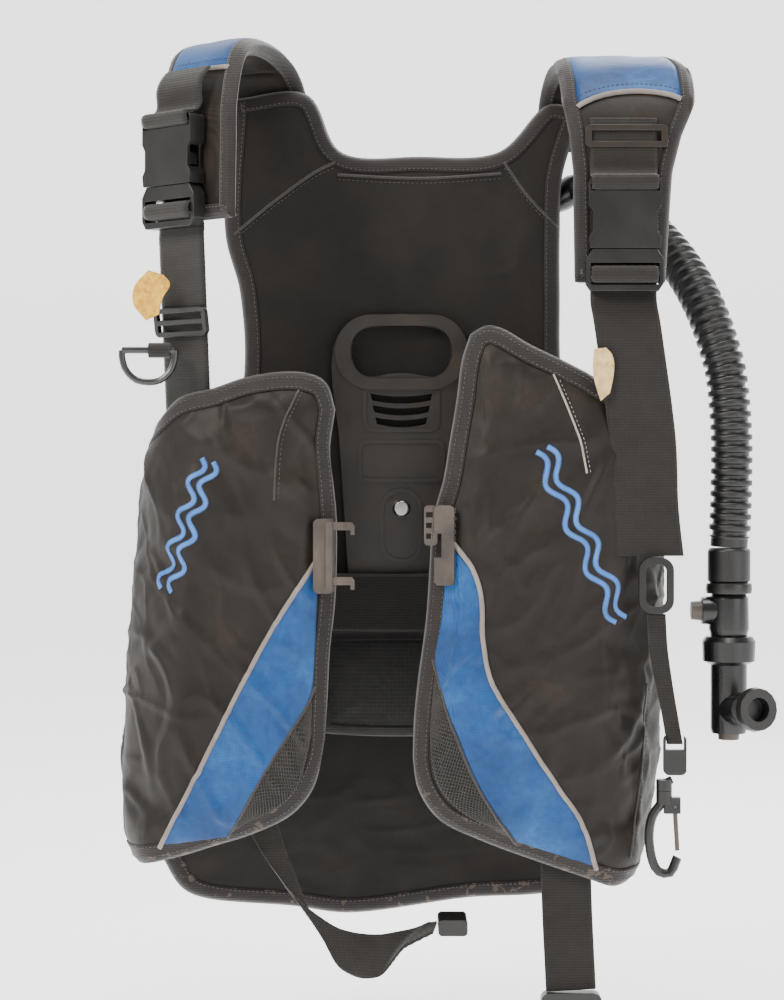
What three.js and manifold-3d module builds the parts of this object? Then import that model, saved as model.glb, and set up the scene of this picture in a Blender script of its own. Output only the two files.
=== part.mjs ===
// A jacket-style buoyancy vest hanging open from its shoulders, in millimetres.
// +Z is up, the open front faces -Y, and the origin is the seat under the two shoulder pads.
import * as THREE from 'three';
import { mergeVertices } from 'three/addons/utils/BufferGeometryUtils.js';
import Module from 'manifold-3d';

const wasm = await Module();
wasm.setup();

// Driving dimensions.
const gap = 0.3;
const vestHeight = 664;
const lobeThick = 20;
const lobeDepth = -72;
const leftFold = -134;
const rightFold = 146;
const backDepth = 56;
const backThick = 12;
const padThick = 12;
const webWidth = 50;
const webThick = 2.5;
const buckleWidth = 54;
const buckleHeight = 52;
const buckleThick = 15;
const plateThick = 7;
const plateX = 7.5;
const boltRadius = 4;
const bladderThick = 34;
const bladderGap = 64;
const saddleHeight = 180;
const saddleWidth = 96;
const bandWidth = 50;
const hoseRadius = 16;
const inflatorRadius = 15;
const waistWidth = 38;

// Depths that follow from the driving ones.
const backFront = backDepth - backThick / 2;
const backRear = backDepth + backThick / 2;
const behindBack = backRear + gap;
const plateRear = backFront - gap;
const plateFront = plateRear - plateThick;
const lobeBulge = 3;
const foldGap = 0.4;
const foldFace = lobeDepth - lobeThick / 2;

const finish = (color, roughness = 0.6, metalness = 0) =>
  new THREE.MeshStandardMaterial({ color, roughness, metalness });
const fabric = finish(0x1b1817, 0.85);
const blueFabric = finish(0x3a7cc0, 0.8);
const webbing = finish(0x231e1c, 0.9);
const blackPlastic = finish(0x121214, 0.45);
const greyPlastic = finish(0x3a3533, 0.55);
const rubber = finish(0x161617, 0.7);
const steel = finish(0x9a9c9e, 0.3, 1);
const blackSteel = finish(0x17171a, 0.35, 0.8);
const paleTape = finish(0xd8cf9c, 0.8);

const vest = new THREE.Group();
const v3 = (x, y, z) => new THREE.Vector3(x, y, z);

function part(name, geometry, material, parent = vest) {
  const mesh = new THREE.Mesh(geometry, material);
  mesh.name = name;
  parent.add(mesh);
  return mesh;
}

function frameAt(x, y, z, turn = 0, parent = vest) {
  const group = new THREE.Group();
  group.position.set(x, y, z);
  group.rotation.z = turn;
  parent.add(group);
  return group;
}

// Closed geometry to a manifold solid and back.
function toSolid(geometry) {
  const bare = geometry.clone();
  bare.deleteAttribute('normal');
  bare.deleteAttribute('uv');
  const merged = mergeVertices(bare, 1e-4);
  const index = merged.index.array;
  const triangles = [];
  for (let i = 0; i < index.length; i += 3) {
    const [a, b, c] = [index[i], index[i + 1], index[i + 2]];
    if (a !== b && b !== c && c !== a) triangles.push(a, b, c);
  }
  const mesh = new wasm.Mesh({
    numProp: 3,
    vertProperties: new Float32Array(merged.attributes.position.array),
    triVerts: new Uint32Array(triangles),
  });
  return new wasm.Manifold(mesh);
}

function toGeometry(solid) {
  const mesh = solid.getMesh();
  const geometry = new THREE.BufferGeometry();
  geometry.setAttribute('position', new THREE.BufferAttribute(mesh.vertProperties, 3));
  geometry.setIndex(new THREE.BufferAttribute(mesh.triVerts, 1));
  return geometry;
}

const join = (...shapes) => toGeometry(shapes.map(toSolid).reduce((all, one) => all.add(one)));

function cut(shape, ...tools) {
  return toGeometry(tools.map(toSolid).reduce((left, tool) => left.subtract(tool), toSolid(shape)));
}

const box = (x0, x1, y0, y1, z0, z1) =>
  new THREE.BoxGeometry(x1 - x0, y1 - y0, z1 - z0)
    .translate((x0 + x1) / 2, (y0 + y1) / 2, (z0 + z1) / 2);

// A round bar from one point to another, with its own end radii.
function rod(from, to, radius, endRadius = radius, sides = 16) {
  const [a, b] = [v3(...from), v3(...to)];
  const axis = b.clone().sub(a);
  const turn = new THREE.Quaternion().setFromUnitVectors(v3(0, 1, 0), axis.clone().normalize());
  return new THREE.CylinderGeometry(endRadius, radius, axis.length(), sides)
    .applyQuaternion(turn)
    .translate(...a.add(b).multiplyScalar(0.5).toArray());
}

const anticlockwise = (points) => (THREE.ShapeUtils.isClockWise(points) ? points.reverse() : points);

// The points of an outline, given as [x, z] pairs or as a path, with none repeated.
function pointsOf(outline) {
  const points = outline.getPoints ? outline.getPoints(5) : outline.map(([x, z]) => new THREE.Vector2(x, z));
  if (points[0].distanceTo(points[points.length - 1]) < 1e-3) points.pop();
  return anticlockwise(points);
}

// An outline in X and Z made solid between two depths.
function slab(outline, front, back, holes = []) {
  const shape = new THREE.Shape(pointsOf(outline));
  for (const hole of holes) shape.holes.push(new THREE.Path(pointsOf(hole)));
  return new THREE.ExtrudeGeometry(shape, { depth: back - front, bevelEnabled: false })
    .rotateX(Math.PI / 2)
    .translate(0, back, 0);
}

// A rectangle with round corners, centred on x and z.
function rounded(x, z, width, height, radius) {
  const [w, h] = [width / 2, height / 2];
  const shape = new THREE.Shape();
  shape.absarc(x + w - radius, z + h - radius, radius, 0, Math.PI / 2);
  shape.absarc(x - w + radius, z + h - radius, radius, Math.PI / 2, Math.PI);
  shape.absarc(x - w + radius, z - h + radius, radius, Math.PI, Math.PI * 1.5);
  shape.absarc(x + w - radius, z - h + radius, radius, Math.PI * 1.5, Math.PI * 2);
  return shape;
}

// A closed tube of rings: every ring has the same number of points, and both ends are capped.
function skin(rings) {
  const around = rings[0].length;
  const points = rings.flat();
  const index = [];
  for (let i = 0; i + 1 < rings.length; i += 1) {
    for (let j = 0; j < around; j += 1) {
      const [a, b] = [i * around + j, i * around + ((j + 1) % around)];
      index.push(a, b, b + around, a, b + around, a + around);
    }
  }
  const last = (rings.length - 1) * around;
  for (let j = 1; j + 1 < around; j += 1) {
    index.push(0, j + 1, j);
    index.push(last, last + j, last + j + 1);
  }
  const geometry = new THREE.BufferGeometry().setFromPoints(points);
  geometry.setIndex(index);
  return geometry;
}

// Flat webbing or a flat pad: stations of [centre, half width], swept at one thickness.
function ribbon(stations, thickness, steps) {
  const path = new THREE.CatmullRomCurve3(stations.map(([at]) => v3(...at)), false, 'centripetal');
  const halves = new THREE.CatmullRomCurve3(stations.map(([, half]) => v3(...half)));
  const rings = [];
  for (let i = 0; i <= steps; i += 1) {
    const centre = path.getPoint(i / steps);
    const half = halves.getPoint(i / steps);
    const rise = path.getTangent(i / steps).cross(half).setLength(thickness / 2);
    const corner = (side, up) => centre.clone().addScaledVector(half, side).addScaledVector(rise, up);
    rings.push([corner(1, 1), corner(-1, 1), corner(-1, -1), corner(1, -1)]);
  }
  return skin(rings);
}

// A soft panel stretched over four edge curves, each a list of points.
// top and bottom run from left to right, left and right run downwards.
function quilt({ top, bottom, left, right }, across, down, thickness) {
  const edge = (points) => new THREE.CatmullRomCurve3(points.map((p) => v3(...p)), false, 'centripetal');
  const [t, b, l, r] = [top, bottom, left, right].map(edge);
  const [tl, tr, bl, br] = [t.getPoint(0), t.getPoint(1), b.getPoint(0), b.getPoint(1)];
  const at = (u, v) => v3(0, 0, 0)
    .addScaledVector(t.getPointAt(u), 1 - v)
    .addScaledVector(b.getPointAt(u), v)
    .addScaledVector(l.getPointAt(v), 1 - u)
    .addScaledVector(r.getPointAt(v), u)
    .addScaledVector(tl, -(1 - u) * (1 - v))
    .addScaledVector(tr, -u * (1 - v))
    .addScaledVector(bl, -(1 - u) * v)
    .addScaledVector(br, -u * v);
  const clamp = (value) => Math.min(1, Math.max(0, value));
  const [faces, wide] = [[[], []], down + 1];
  for (let i = 0; i <= across; i += 1) {
    for (let j = 0; j <= down; j += 1) {
      const [u, v, d] = [i / across, j / down, 0.02];
      const alongU = at(clamp(u + d), v).sub(at(clamp(u - d), v));
      const alongV = at(u, clamp(v + d)).sub(at(u, clamp(v - d)));
      const normal = alongU.cross(alongV).setLength(thickness / 2);
      faces[0].push(at(u, v).add(normal));
      faces[1].push(at(u, v).sub(normal));
    }
  }
  const count = faces[0].length;
  const index = [];
  const quad = (a, p, q, d) => index.push(a, p, q, a, q, d);
  for (let i = 0; i < across; i += 1) {
    for (let j = 0; j < down; j += 1) {
      const [a, p] = [i * wide + j, (i + 1) * wide + j];
      quad(a, p, p + 1, a + 1);
      quad(count + a, count + a + 1, count + p + 1, count + p);
    }
    const [a, p] = [i * wide, (i + 1) * wide];
    quad(a, count + a, count + p, p);
    quad(a + down, p + down, count + p + down, count + a + down);
  }
  for (let j = 0; j < down; j += 1) {
    const far = across * wide + j;
    quad(j, j + 1, count + j + 1, count + j);
    quad(far, count + far, count + far + 1, far + 1);
  }
  const geometry = new THREE.BufferGeometry().setFromPoints(faces.flat());
  geometry.setIndex(index);
  return geometry;
}

// A closed strip around a loop of points in a plane, extruded to its width.
function loopStrip(points, thickness, width, samples) {
  const path = new THREE.CatmullRomCurve3(points.map(([x, y]) => v3(x, y, 0)), true, 'centripetal');
  const ring = (offset) => Array.from({ length: samples }, (_, i) => {
    const [p, t] = [path.getPoint(i / samples), path.getTangent(i / samples)];
    return new THREE.Vector2(p.x + t.y * offset, p.y - t.x * offset);
  });
  const turns = THREE.ShapeUtils.area(ring(0)) > 0 ? 1 : -1;
  const shape = new THREE.Shape(anticlockwise(ring(turns * thickness / 2)));
  shape.holes.push(new THREE.Path(anticlockwise(ring(-turns * thickness / 2))));
  return new THREE.ExtrudeGeometry(shape, { depth: width, bevelEnabled: false });
}

// A round tube along a list of points.
function tube(points, radius, sides, steps) {
  const section = new THREE.Shape(Array.from({ length: sides }, (_, i) => new THREE.Vector2(
    radius * Math.cos((2 * Math.PI * i) / sides), radius * Math.sin((2 * Math.PI * i) / sides))));
  const extrudePath = new THREE.CatmullRomCurve3(points.map((p) => v3(...p)), false, 'centripetal');
  return new THREE.ExtrudeGeometry(section, { steps, extrudePath, bevelEnabled: false });
}

// Back: the inner panel with its holes for the two pack bolts.
const hem = -vestHeight;
const boltHeights = [-338, -412];
const boltHole = (z) => rod([plateX, 0, z], [plateX, 120, z], boltRadius + gap);
const backSheet = quilt({
  top: [[-128, backDepth, -10], [-69, backDepth, -6], [-42, backDepth, -52], [22, backDepth, -56],
    [87, backDepth, -52], [127, backDepth, -14], [152, backDepth, -20]],
  bottom: [[-184, backDepth, hem + 49], [-163, backDepth, hem + 18], [-76, backDepth, hem + 5],
    [-35, backDepth, hem], [58, backDepth, hem + 12], [140, backDepth, hem + 20], [180, backDepth, hem + 50]],
  left: [[-128, backDepth, -10], [-133, backDepth, -116], [-121, backDepth, -165],
    [-119, backDepth, -240], [-152, backDepth, -350], [-176, backDepth, -470], [-184, backDepth, hem + 49]],
  right: [[152, backDepth, -20], [136, backDepth, -70], [134, backDepth, -116], [134, backDepth, -165],
    [136, backDepth, -240], [160, backDepth, -350], [176, backDepth, -470], [180, backDepth, hem + 50]],
}, 12, 14, backThick);
// Its sides curl forward beyond the flat middle.
const flatHalf = 110;
const curl = 0.0029;
const backPoints = backSheet.getAttribute('position');
for (let i = 0; i < backPoints.count; i += 1) {
  const beyond = Math.max(0, Math.abs(backPoints.getX(i) - plateX) - flatHalf);
  backPoints.setY(i, backPoints.getY(i) - curl * beyond * beyond);
}
part('back_panel', cut(backSheet, ...boltHeights.map(boltHole)), fabric);

const lumbarHeight = 84;
part('lumbar_pad', slab(rounded(plateX, -478, 132, lumbarHeight, 20), plateRear - 12, plateRear), fabric);

// The moulded plate: a grab handle at the top, louvres, a plain recess and a bolt channel.
function backPlate() {
  const outline = new THREE.SplineCurve([[-40, -430], [-46, -340], [-50, -280], [-56, -222], [-44, -192],
    [0, -182], [44, -192], [56, -222], [50, -280], [46, -340], [40, -430]]
    .map(([x, z]) => new THREE.Vector2(plateX + x, z)));
  const handle = new THREE.Path().moveTo(plateX - 40, -216);
  handle.quadraticCurveTo(plateX - 42, -195, plateX - 24, -193);
  handle.quadraticCurveTo(plateX, -190, plateX + 24, -193);
  handle.quadraticCurveTo(plateX + 42, -195, plateX + 40, -216);
  handle.quadraticCurveTo(plateX + 36, -236, plateX + 18, -232);
  handle.quadraticCurveTo(plateX, -227, plateX - 18, -232);
  handle.quadraticCurveTo(plateX - 36, -236, plateX - 40, -216);
  const louvres = [0, 1, 2].map((row) => {
    const [half, z] = [25 - 2 * row, -246 - 9.5 * row];
    const slot = new THREE.Path().moveTo(plateX - half, z);
    slot.quadraticCurveTo(plateX, z - 5, plateX + half, z);
    slot.lineTo(plateX + half - 1.5, z - 5.5);
    slot.quadraticCurveTo(plateX, z - 11, plateX - half + 1.5, z - 5.5);
    return slot;
  });
  const body = slab(new THREE.Shape(outline.getPoints(30)), plateFront, plateRear, [handle, ...louvres]);
  const rim = (z, width, height, radius, wall = 3) => slab(rounded(plateX, z, width, height, radius),
    plateFront - 2, plateFront + 1, [rounded(plateX, z, width - 2 * wall, height - 2 * wall, radius - 2)]);
  const ring = slab(rounded(plateX, -213, 106, 60, 29), plateFront - 5, plateFront + 1,
    [rounded(plateX, -213, 82, 42, 20)]);
  const raised = join(body, ring, rim(-257, 62, 40, 9), rim(-300, 70, 34, 7), rim(-352, 34, 60, 16));
  return cut(raised, ...boltHeights.map(boltHole));
}
part('back_plate', backPlate(), greyPlastic);

// The saddle behind the panel: a base with two ribs that the cylinder rests on.
const saddleBase = 8.5;
const saddleMid = -340;
const ribReach = 30;
const ribWide = 18;
const ribCentre = 31;
const saddleRear = behindBack + ribReach;
const bandTop = -348;
const bandFront = behindBack + saddleBase + webThick / 2 + 3 * gap;
function tankSaddle() {
  const [low, high] = [saddleMid - saddleHeight / 2, saddleMid + saddleHeight / 2];
  const base = slab(rounded(plateX, saddleMid, saddleWidth, saddleHeight, 14), behindBack,
    behindBack + saddleBase);
  const ribs = [-1, 1].map((side) => {
    const x = plateX + side * ribCentre;
    return box(x - ribWide / 2, x + ribWide / 2, behindBack + saddleBase - 1, saddleRear, low + 8, high - 8);
  });
  const tunnel = box(plateX - 60, plateX + 60, behindBack + saddleBase, bandFront + 7,
    bandTop - bandWidth - 2, bandTop + 2);
  return cut(join(base, ...ribs), tunnel, ...boltHeights.map(boltHole));
}
part('tank_saddle', tankSaddle(), blackPlastic);

const boltSeat = plateFront;
const nutSeat = behindBack + saddleBase;
const boltShape = (z) => join(rod([plateX, boltSeat - 4, z], [plateX, boltSeat - gap, z], 5.5, 7.5),
  rod([plateX, boltSeat - 1, z], [plateX, nutSeat + 4, z], boltRadius));
const nutShape = (z) => cut(rod([plateX, nutSeat + gap, z], [plateX, nutSeat + 5, z], 7.5, 7.5, 6),
  rod([plateX, nutSeat - 2, z], [plateX, nutSeat + 8, z], boltRadius + gap));
['upper', 'lower'].forEach((place, i) => {
  part(`${place}_pack_bolt`, boltShape(boltHeights[i]), steel);
  part(`${place}_pack_nut`, nutShape(boltHeights[i]), steel);
});

// The rear air bladder is a horseshoe round the saddle.
const bladderLeft = -112;
const bladderRight = 132;
const bladderTop = -62;
const bladderBottom = hem + 62;
const chamferIn = 40;
const chamferDown = 69;
function airBladder() {
  const [crown, foot] = [60, 26];
  const shape = new THREE.Shape();
  const inner = [plateX - bladderGap, plateX + bladderGap];
  shape.moveTo(bladderRight, bladderTop - chamferDown);
  shape.lineTo(bladderRight - chamferIn, bladderTop);
  shape.absarc(bladderLeft + crown, bladderTop - crown, crown, Math.PI / 2, Math.PI);
  shape.absarc(bladderLeft + foot, bladderBottom + foot, foot, Math.PI, Math.PI * 1.5);
  shape.lineTo(inner[0], bladderBottom);
  shape.absarc(plateX, saddleMid + saddleHeight / 2, bladderGap, Math.PI, 0, true);
  shape.lineTo(inner[1], bladderBottom);
  shape.absarc(bladderRight - foot, bladderBottom + foot, foot, Math.PI * 1.5, Math.PI * 2);
  return slab(shape, behindBack, behindBack + bladderThick);
}
part('air_bladder', airBladder(), fabric);

// The cylinder band runs through the ribs and closes on a cam buckle behind.
const bandRear = saddleRear + 58;
function tankBand() {
  const run = ribCentre + ribWide / 2 + 1;
  const side = [[22, bandFront], [run, bandFront], [run + 10, bandFront + 6], [run + 17, saddleRear],
    [run + 26, saddleRear + 18], [run + 26, bandRear - 18], [run + 12, bandRear - 3], [24, bandRear]];
  const loop = [...side.map(([x, y]) => [plateX + x, y]),
    ...side.reverse().map(([x, y]) => [plateX - x, y])];
  return loopStrip(loop, webThick, bandWidth, 56).translate(0, 0, bandTop - bandWidth);
}
part('tank_band', tankBand(), webbing);

const camSeat = bandRear + webThick / 2 + 2 * gap;
const camMid = bandTop - bandWidth / 2;
const camWide = bandWidth + 12;
const camPin = 3;
const camPivot = [plateX - 20, camSeat + 10];
function camBody() {
  const base = box(plateX - 34, plateX + 34, camSeat, camSeat + 3, camMid - camWide / 2, camMid + camWide / 2);
  const cheeks = [-1, 1].map((side) => {
    const z = camMid + side * (camWide / 2 - 2);
    return box(plateX - 32, plateX - 8, camSeat + 2, camSeat + 16, z - 2, z + 2);
  });
  const pinHole = rod([...camPivot, camMid - camWide], [...camPivot, camMid + camWide], camPin + gap);
  return cut(join(base, ...cheeks), pinHole);
}
function camLever() {
  const half = camWide / 2 - 4 - 2 * gap;
  const hub = rod([...camPivot, camMid - half], [...camPivot, camMid + half], 6);
  const pin = rod([...camPivot, camMid - camWide / 2], [...camPivot, camMid + camWide / 2], camPin);
  const arm = box(camPivot[0], plateX + 48, camPivot[1] - 1, camPivot[1] + 4, camMid - half, camMid + half);
  return join(hub, pin, arm);
}
part('cam_buckle_body', camBody(), blackPlastic);
part('cam_lever', camLever(), blackPlastic);

// The overpressure valve low on the bladder, with the knob that a diver pulls.
const valveAt = [bladderLeft + 30, behindBack + bladderThick + gap, bladderBottom + 70];
const [valveX, valveY, valveZ] = valveAt;
part('dump_valve', cut(join(rod(valveAt, [valveX, valveY + 6, valveZ], 25, 25, 20),
  rod([valveX, valveY + 5, valveZ], [valveX, valveY + 14, valveZ], 21, 17, 20)),
rod([valveX, valveY + 8, valveZ], [valveX, valveY + 20, valveZ], 3.5)), blackPlastic);
part('dump_knob', join(rod([valveX, valveY + 8 + gap, valveZ], [valveX, valveY + 19, valveZ], 3),
  rod([valveX, valveY + 18, valveZ], [valveX, valveY + 26, valveZ], 8, 6)), blackPlastic);

// Front: each lobe opens on a fold, and the rest of that side wraps back to the back panel.
const sideReach = 204;
const leftOuter = -sideReach + lobeThick / 2;
const rightOuter = sideReach - lobeThick / 2 + 4;
const leftHem = hem + 74;
const rightHem = hem + 50;
part('left_front_lobe', quilt({
  top: [[leftFold + foldGap, lobeDepth, -247], [-106, lobeDepth - 2, -238], [-69, lobeDepth - lobeBulge, -235],
    [-51, lobeDepth - 2, -243], [-44, lobeDepth, -264]],
  bottom: [[leftFold + foldGap, lobeDepth, leftHem], [-106, lobeDepth - 2, leftHem + 9],
    [-76, lobeDepth - lobeBulge, leftHem + 24], [-60, lobeDepth - 2, leftHem + 44], [-52, lobeDepth, leftHem + 80]],
  left: [[leftFold + foldGap, lobeDepth, -247], [leftFold + foldGap, lobeDepth, leftHem]],
  right: [[-44, lobeDepth, -264], [-47, lobeDepth, -300], [-44, lobeDepth, -360],
    [-46, lobeDepth, -425], [-52, lobeDepth, leftHem + 80]],
}, 7, 10, lobeThick), fabric);
part('right_front_lobe', quilt({
  top: [[50, lobeDepth, -255], [55, lobeDepth, -220], [71, lobeDepth - 2, -200],
    [103, lobeDepth - lobeBulge, -214], [rightFold - foldGap, lobeDepth, -235]],
  bottom: [[17, lobeDepth, rightHem + 89], [24, lobeDepth, rightHem + 60], [66, lobeDepth - lobeBulge, rightHem + 29],
    [126, lobeDepth - 2, rightHem + 7], [rightFold - foldGap, lobeDepth, rightHem]],
  left: [[50, lobeDepth, -255], [40, lobeDepth, -315], [29, lobeDepth, -385],
    [21, lobeDepth, -465], [17, lobeDepth, rightHem + 89]],
  right: [[rightFold - foldGap, lobeDepth, -235], [rightFold - foldGap, lobeDepth, rightHem]],
}, 7, 10, lobeThick), fabric);
part('left_side_panel', quilt({
  top: [[-138, 35.4, -288], [-158, 20, -290], [-175, -20, -284], [-175, -55, -270], [-160, -68, -254],
    [leftFold - foldGap, lobeDepth, -247]],
  bottom: [[-172, 24.6, leftHem - 14], [leftOuter, -4, leftHem - 16], [leftOuter, -46, leftHem - 16],
    [-184, -66, leftHem - 14], [-160, -71, leftHem - 8], [leftFold - foldGap, lobeDepth, leftHem]],
  left: [[-138, 35.4, -288], [-158, 30.6, -400], [-170, 26.4, -500], [-172, 24.6, leftHem - 14]],
  right: [[leftFold - foldGap, lobeDepth, -247], [leftFold - foldGap, lobeDepth, leftHem]],
}, 12, 8, lobeThick), fabric);
part('right_side_panel', quilt({
  top: [[rightFold + foldGap, lobeDepth, -235], [166, -69, -248], [186, -62, -270], [rightOuter - 2, -40, -300],
    [rightOuter - 4, -8, -308], [180, 20, -304], [152, 35.4, -290]],
  bottom: [[rightFold + foldGap, lobeDepth, rightHem], [166, -69, rightHem - 7], [178, -56, rightHem - 6],
    [rightOuter - 14, -20, rightHem - 4], [182, 8, rightHem + 4], [168, 27, rightHem + 10]],
  left: [[rightFold + foldGap, lobeDepth, -235], [rightFold + foldGap, lobeDepth, rightHem]],
  right: [[152, 35.4, -290], [168, 30, -400], [172, 27, -500], [168, 27, rightHem + 10]],
}, 12, 8, lobeThick), fabric);

// Shoulder pads go over the hanging seat from the back panel to the buckles.
part('left_shoulder_pad', ribbon([[[-105, 69.5, -48], [36, 0, 0]], [[-107, 69.5, -4], [36, 0, 0]],
  [[-114, 54, 15], [35, -8, 0]], [[-128, 12, 22], [32, -20, 0]], [[-141, -30, 10], [30, -25, 0]],
  [[-146, -60, -34], [29, -27, 0]], [[-146, -66, -62], [29, -27, 0]], [[-146, -66, -118], [28, -26, 0]]],
padThick, 22), blueFabric);
part('right_shoulder_pad', ribbon([[[157, 69.5, -48], [38, 0, 0]], [[159, 69.5, -16], [39, 0, 0]],
  [[164, 50, 4], [41, -2, 0]], [[172, 10, 11], [45, -3, 0]], [[178, -32, -2], [50, -3, 0]],
  [[179, -60, -30], [49, -1, 0]], [[176, -69, -56], [41, 0, 0]], [[174, -70, -84], [36, 0, 0]],
  [[172, -70, -165], [33, 0, 0]]], padThick, 26), blueFabric);

// Side-release buckle in its own frame: x across, z up the strap, -y to the front, top at z 0.
const mouth = -buckleHeight;
const wallThick = 3;
const pocketHalf = buckleWidth / 2 - 5.5;
const pocketDeep = buckleThick / 2 - wallThick;
const prongTop = -22;
const catchTop = prongTop - 3;
const catchHeight = 13;
function buckleFemale() {
  const [half, deep] = [buckleWidth / 2, buckleThick / 2];
  const outline = new THREE.Shape([[-half, -2], [-half, -20], [-half + 3, catchTop], [-half + 3, catchTop - 14],
    [-half, mouth + 8], [-half + 1, mouth], [half - 1, mouth], [half, mouth + 8], [half - 3, catchTop - 14],
    [half - 3, catchTop], [half, -20], [half, -2], [half - 2, 0], [-half + 2, 0]]
    .map(([x, z]) => new THREE.Vector2(x, z)));
  const pocket = box(-pocketHalf, pocketHalf, -pocketDeep, pocketDeep, mouth - 5, -16);
  const window = box(-half - 5, half + 5, -pocketDeep, pocketDeep, catchTop - catchHeight - 1.5, catchTop + 1.5);
  const slot = box(-webWidth / 2 - 0.6, webWidth / 2 + 0.6, -deep - 5, deep + 5, -9, -4.5);
  return cut(slab(outline, -deep, deep), pocket, window, slot);
}
function buckleMale() {
  const half = buckleWidth / 2 + 2;
  const low = mouth - 32;
  const frame = slab(new THREE.Shape([[-half + 5, mouth - gap], [-half, mouth - 8], [-half, low + 6],
    [-half + 4, low], [half - 4, low], [half, low + 6], [half, mouth - 8], [half - 5, mouth - gap]]
    .map(([x, z]) => new THREE.Vector2(x, z))), -6, 6);
  const slot = (z) => box(-webWidth / 2 - 0.6, webWidth / 2 + 0.6, -20, 20, z - 3, z + 3);
  return join(cut(frame, slot(mouth - 14), slot(mouth - 24)), box(-3, 3, -3, 3, mouth - 2, prongTop));
}
function buckleProng(side) {
  const outline = [[8, mouth + gap], [13, mouth + gap], [15, catchTop - catchHeight], [23.4, catchTop - catchHeight],
    [22, catchTop - 4], [15, prongTop], [12, prongTop], [12, -36]];
  const path = side > 0 ? outline : outline.map(([x, z]) => [-x, z]);
  return slab(path, -pocketDeep + 0.8, pocketDeep - 0.8);
}
function strapBuckle(name, frame) {
  part(`${name}_buckle_female`, buckleFemale(), blackPlastic, frame);
  part(`${name}_buckle_male`, buckleMale(), blackPlastic, frame);
  part(`${name}_prong_outer`, buckleProng(name === 'left' ? -1 : 1), blackPlastic, frame);
  part(`${name}_prong_inner`, buckleProng(name === 'left' ? 1 : -1), blackPlastic, frame);
}

// Left shoulder strap, turned with the shoulder, and what hangs on it.
const leftTurn = Math.atan2(-27, 29);
const leftStrap = frameAt(-165.1, -68.8, -41, leftTurn);
strapBuckle('left', leftStrap);
const halfWeb = webWidth / 2;
const slotMiddle = -6.75;
const padFace = buckleThick / 2 + gap;
const sweepWeb = (points, half, steps) => ribbon(points.map((at) => [at, [half, 0, 0]]), webThick, steps);
// Webbing comes down the pad, over the top bar and back through the slot behind it.
const upperWeb = (rise) => sweepWeb([[0, padFace - 2.2, rise], [0, padFace - 1.8, 9], [0, 2, 3.6], [0, -4, 2.4],
  [0, -8.9, 1.2], [0, -9.7, -2.6], [0, -7.6, -6.6], [0, 0, slotMiddle], [0, 5.5, slotMiddle]], halfWeb, 20);
// Below the mouth it goes round the bar of the adjuster and out behind the bottom edge.
const barMiddle = mouth - 19;
const lowerWeb = (ends) => sweepWeb([[0, 5, barMiddle + 5], [0, 0, barMiddle + 5], [0, -6.4, barMiddle + 4.2],
  [0, -8.2, barMiddle], [0, -6.4, barMiddle - 4.2], [0, 0, barMiddle - 5], [0, 6, barMiddle - 5.5],
  [0, 8.4, barMiddle - 10.6], ...ends], halfWeb, 30);
part('left_upper_webbing', upperWeb(22), webbing, leftStrap);
const lowTop = [0, 8.2, -90];
const lowEnd = [-12.6, 26.5, -221];
const lowRun = frameAt(...lowTop, 0, leftStrap);
lowRun.rotation.x = Math.atan2(lowEnd[1] - lowTop[1], lowTop[2] - lowEnd[2]);
const along = (share) => lowTop.map((value, i) => value + share * (lowEnd[i] - value));
part('left_lower_webbing', lowerWeb([0, 0.06, 0.15, 0.5, 1].map(along)), webbing, leftStrap);
const onWeb = -webThick / 2 - 2 * gap;
part('left_slider', cut(slab(rounded(-6, -64, 58, 22, 5), onWeb - 4, onWeb),
  box(-halfWeb - 6, halfWeb - 6, -9, 5, -62, -57), box(-halfWeb - 6, halfWeb - 6, -9, 5, -71, -66)),
blackPlastic, lowRun);
part('left_strap_tag', box(-34, -2, onWeb - 1.2, onWeb, -48, -12), paleTape, lowRun);

const ringWire = 2.6;
const ringHalf = 20;
const ringBar = [-184, -68, -217];
const ringAt = frameAt(...ringBar);
const ringPath = [[-ringHalf, 0, 0], [-ringHalf, 0, -5], [-ringHalf + 3, 0, -15], [-8, 0, -23], [8, 0, -23],
  [ringHalf - 3, 0, -15], [ringHalf, 0, -5], [ringHalf, 0, 0]];
part('left_d_ring', join(tube(ringPath, ringWire, 8, 16),
  rod([-ringHalf, 0, 0], [ringHalf, 0, 0], ringWire, ringWire, 8)), blackSteel, ringAt);
const loopWide = 16;
const barRoom = ringWire + 2;
part('left_d_ring_loop', loopStrip([[-barRoom, 0], [0, barRoom], [12, 3.4], [24, 2.8], [27, 0], [24, -2.8],
  [12, -3.4], [0, -barRoom]], 1.6, loopWide, 40).rotateY(Math.PI / 2).rotateX(Math.PI / 2), webbing, ringAt);

// Right shoulder strap, its keeper plate, and the accessory strap below it.
const rightX = 174;
const rightFace = -70 - padThick / 2 - gap - buckleThick / 2;
const rightStrap = frameAt(rightX, rightFace, -90);
strapBuckle('right', rightStrap);
part('right_upper_webbing', upperWeb(22), webbing, rightStrap);
part('right_keeper', cut(slab(rounded(0, 0, 62, 17, 4), -2, 2), box(-halfWeb - 1, halfWeb + 1, -5, 5, -4, 4)),
  greyPlastic, frameAt(rightX + 2, rightFace + padFace - 2.6, -57));
const accessoryX = rightOuter;
const accessoryY = foldFace - 3.1;
part('right_lower_webbing', lowerWeb([[0, 5.4, -92], [2, 1.2, -106], [4, 0.6, -120], [14, 2.5, -195],
  [16, 2.5, -245], [20, 3.1, -282]]),
  webbing, rightStrap);
part('right_strap_tag', box(-7, 7, -0.6, 0.6, -21, 21), paleTape,
  frameAt(158, rightFace - webThick / 2 - 0.7, -236));
part('accessory_loop', cut(slab(rounded(accessoryX, -394, 26, 42, 10), accessoryY - 3, accessoryY + 3),
  slab(rounded(accessoryX, -394, 16, 32, 6), accessoryY - 9, accessoryY + 9)), blackPlastic);
const sliderX = accessoryX + 14;
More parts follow.
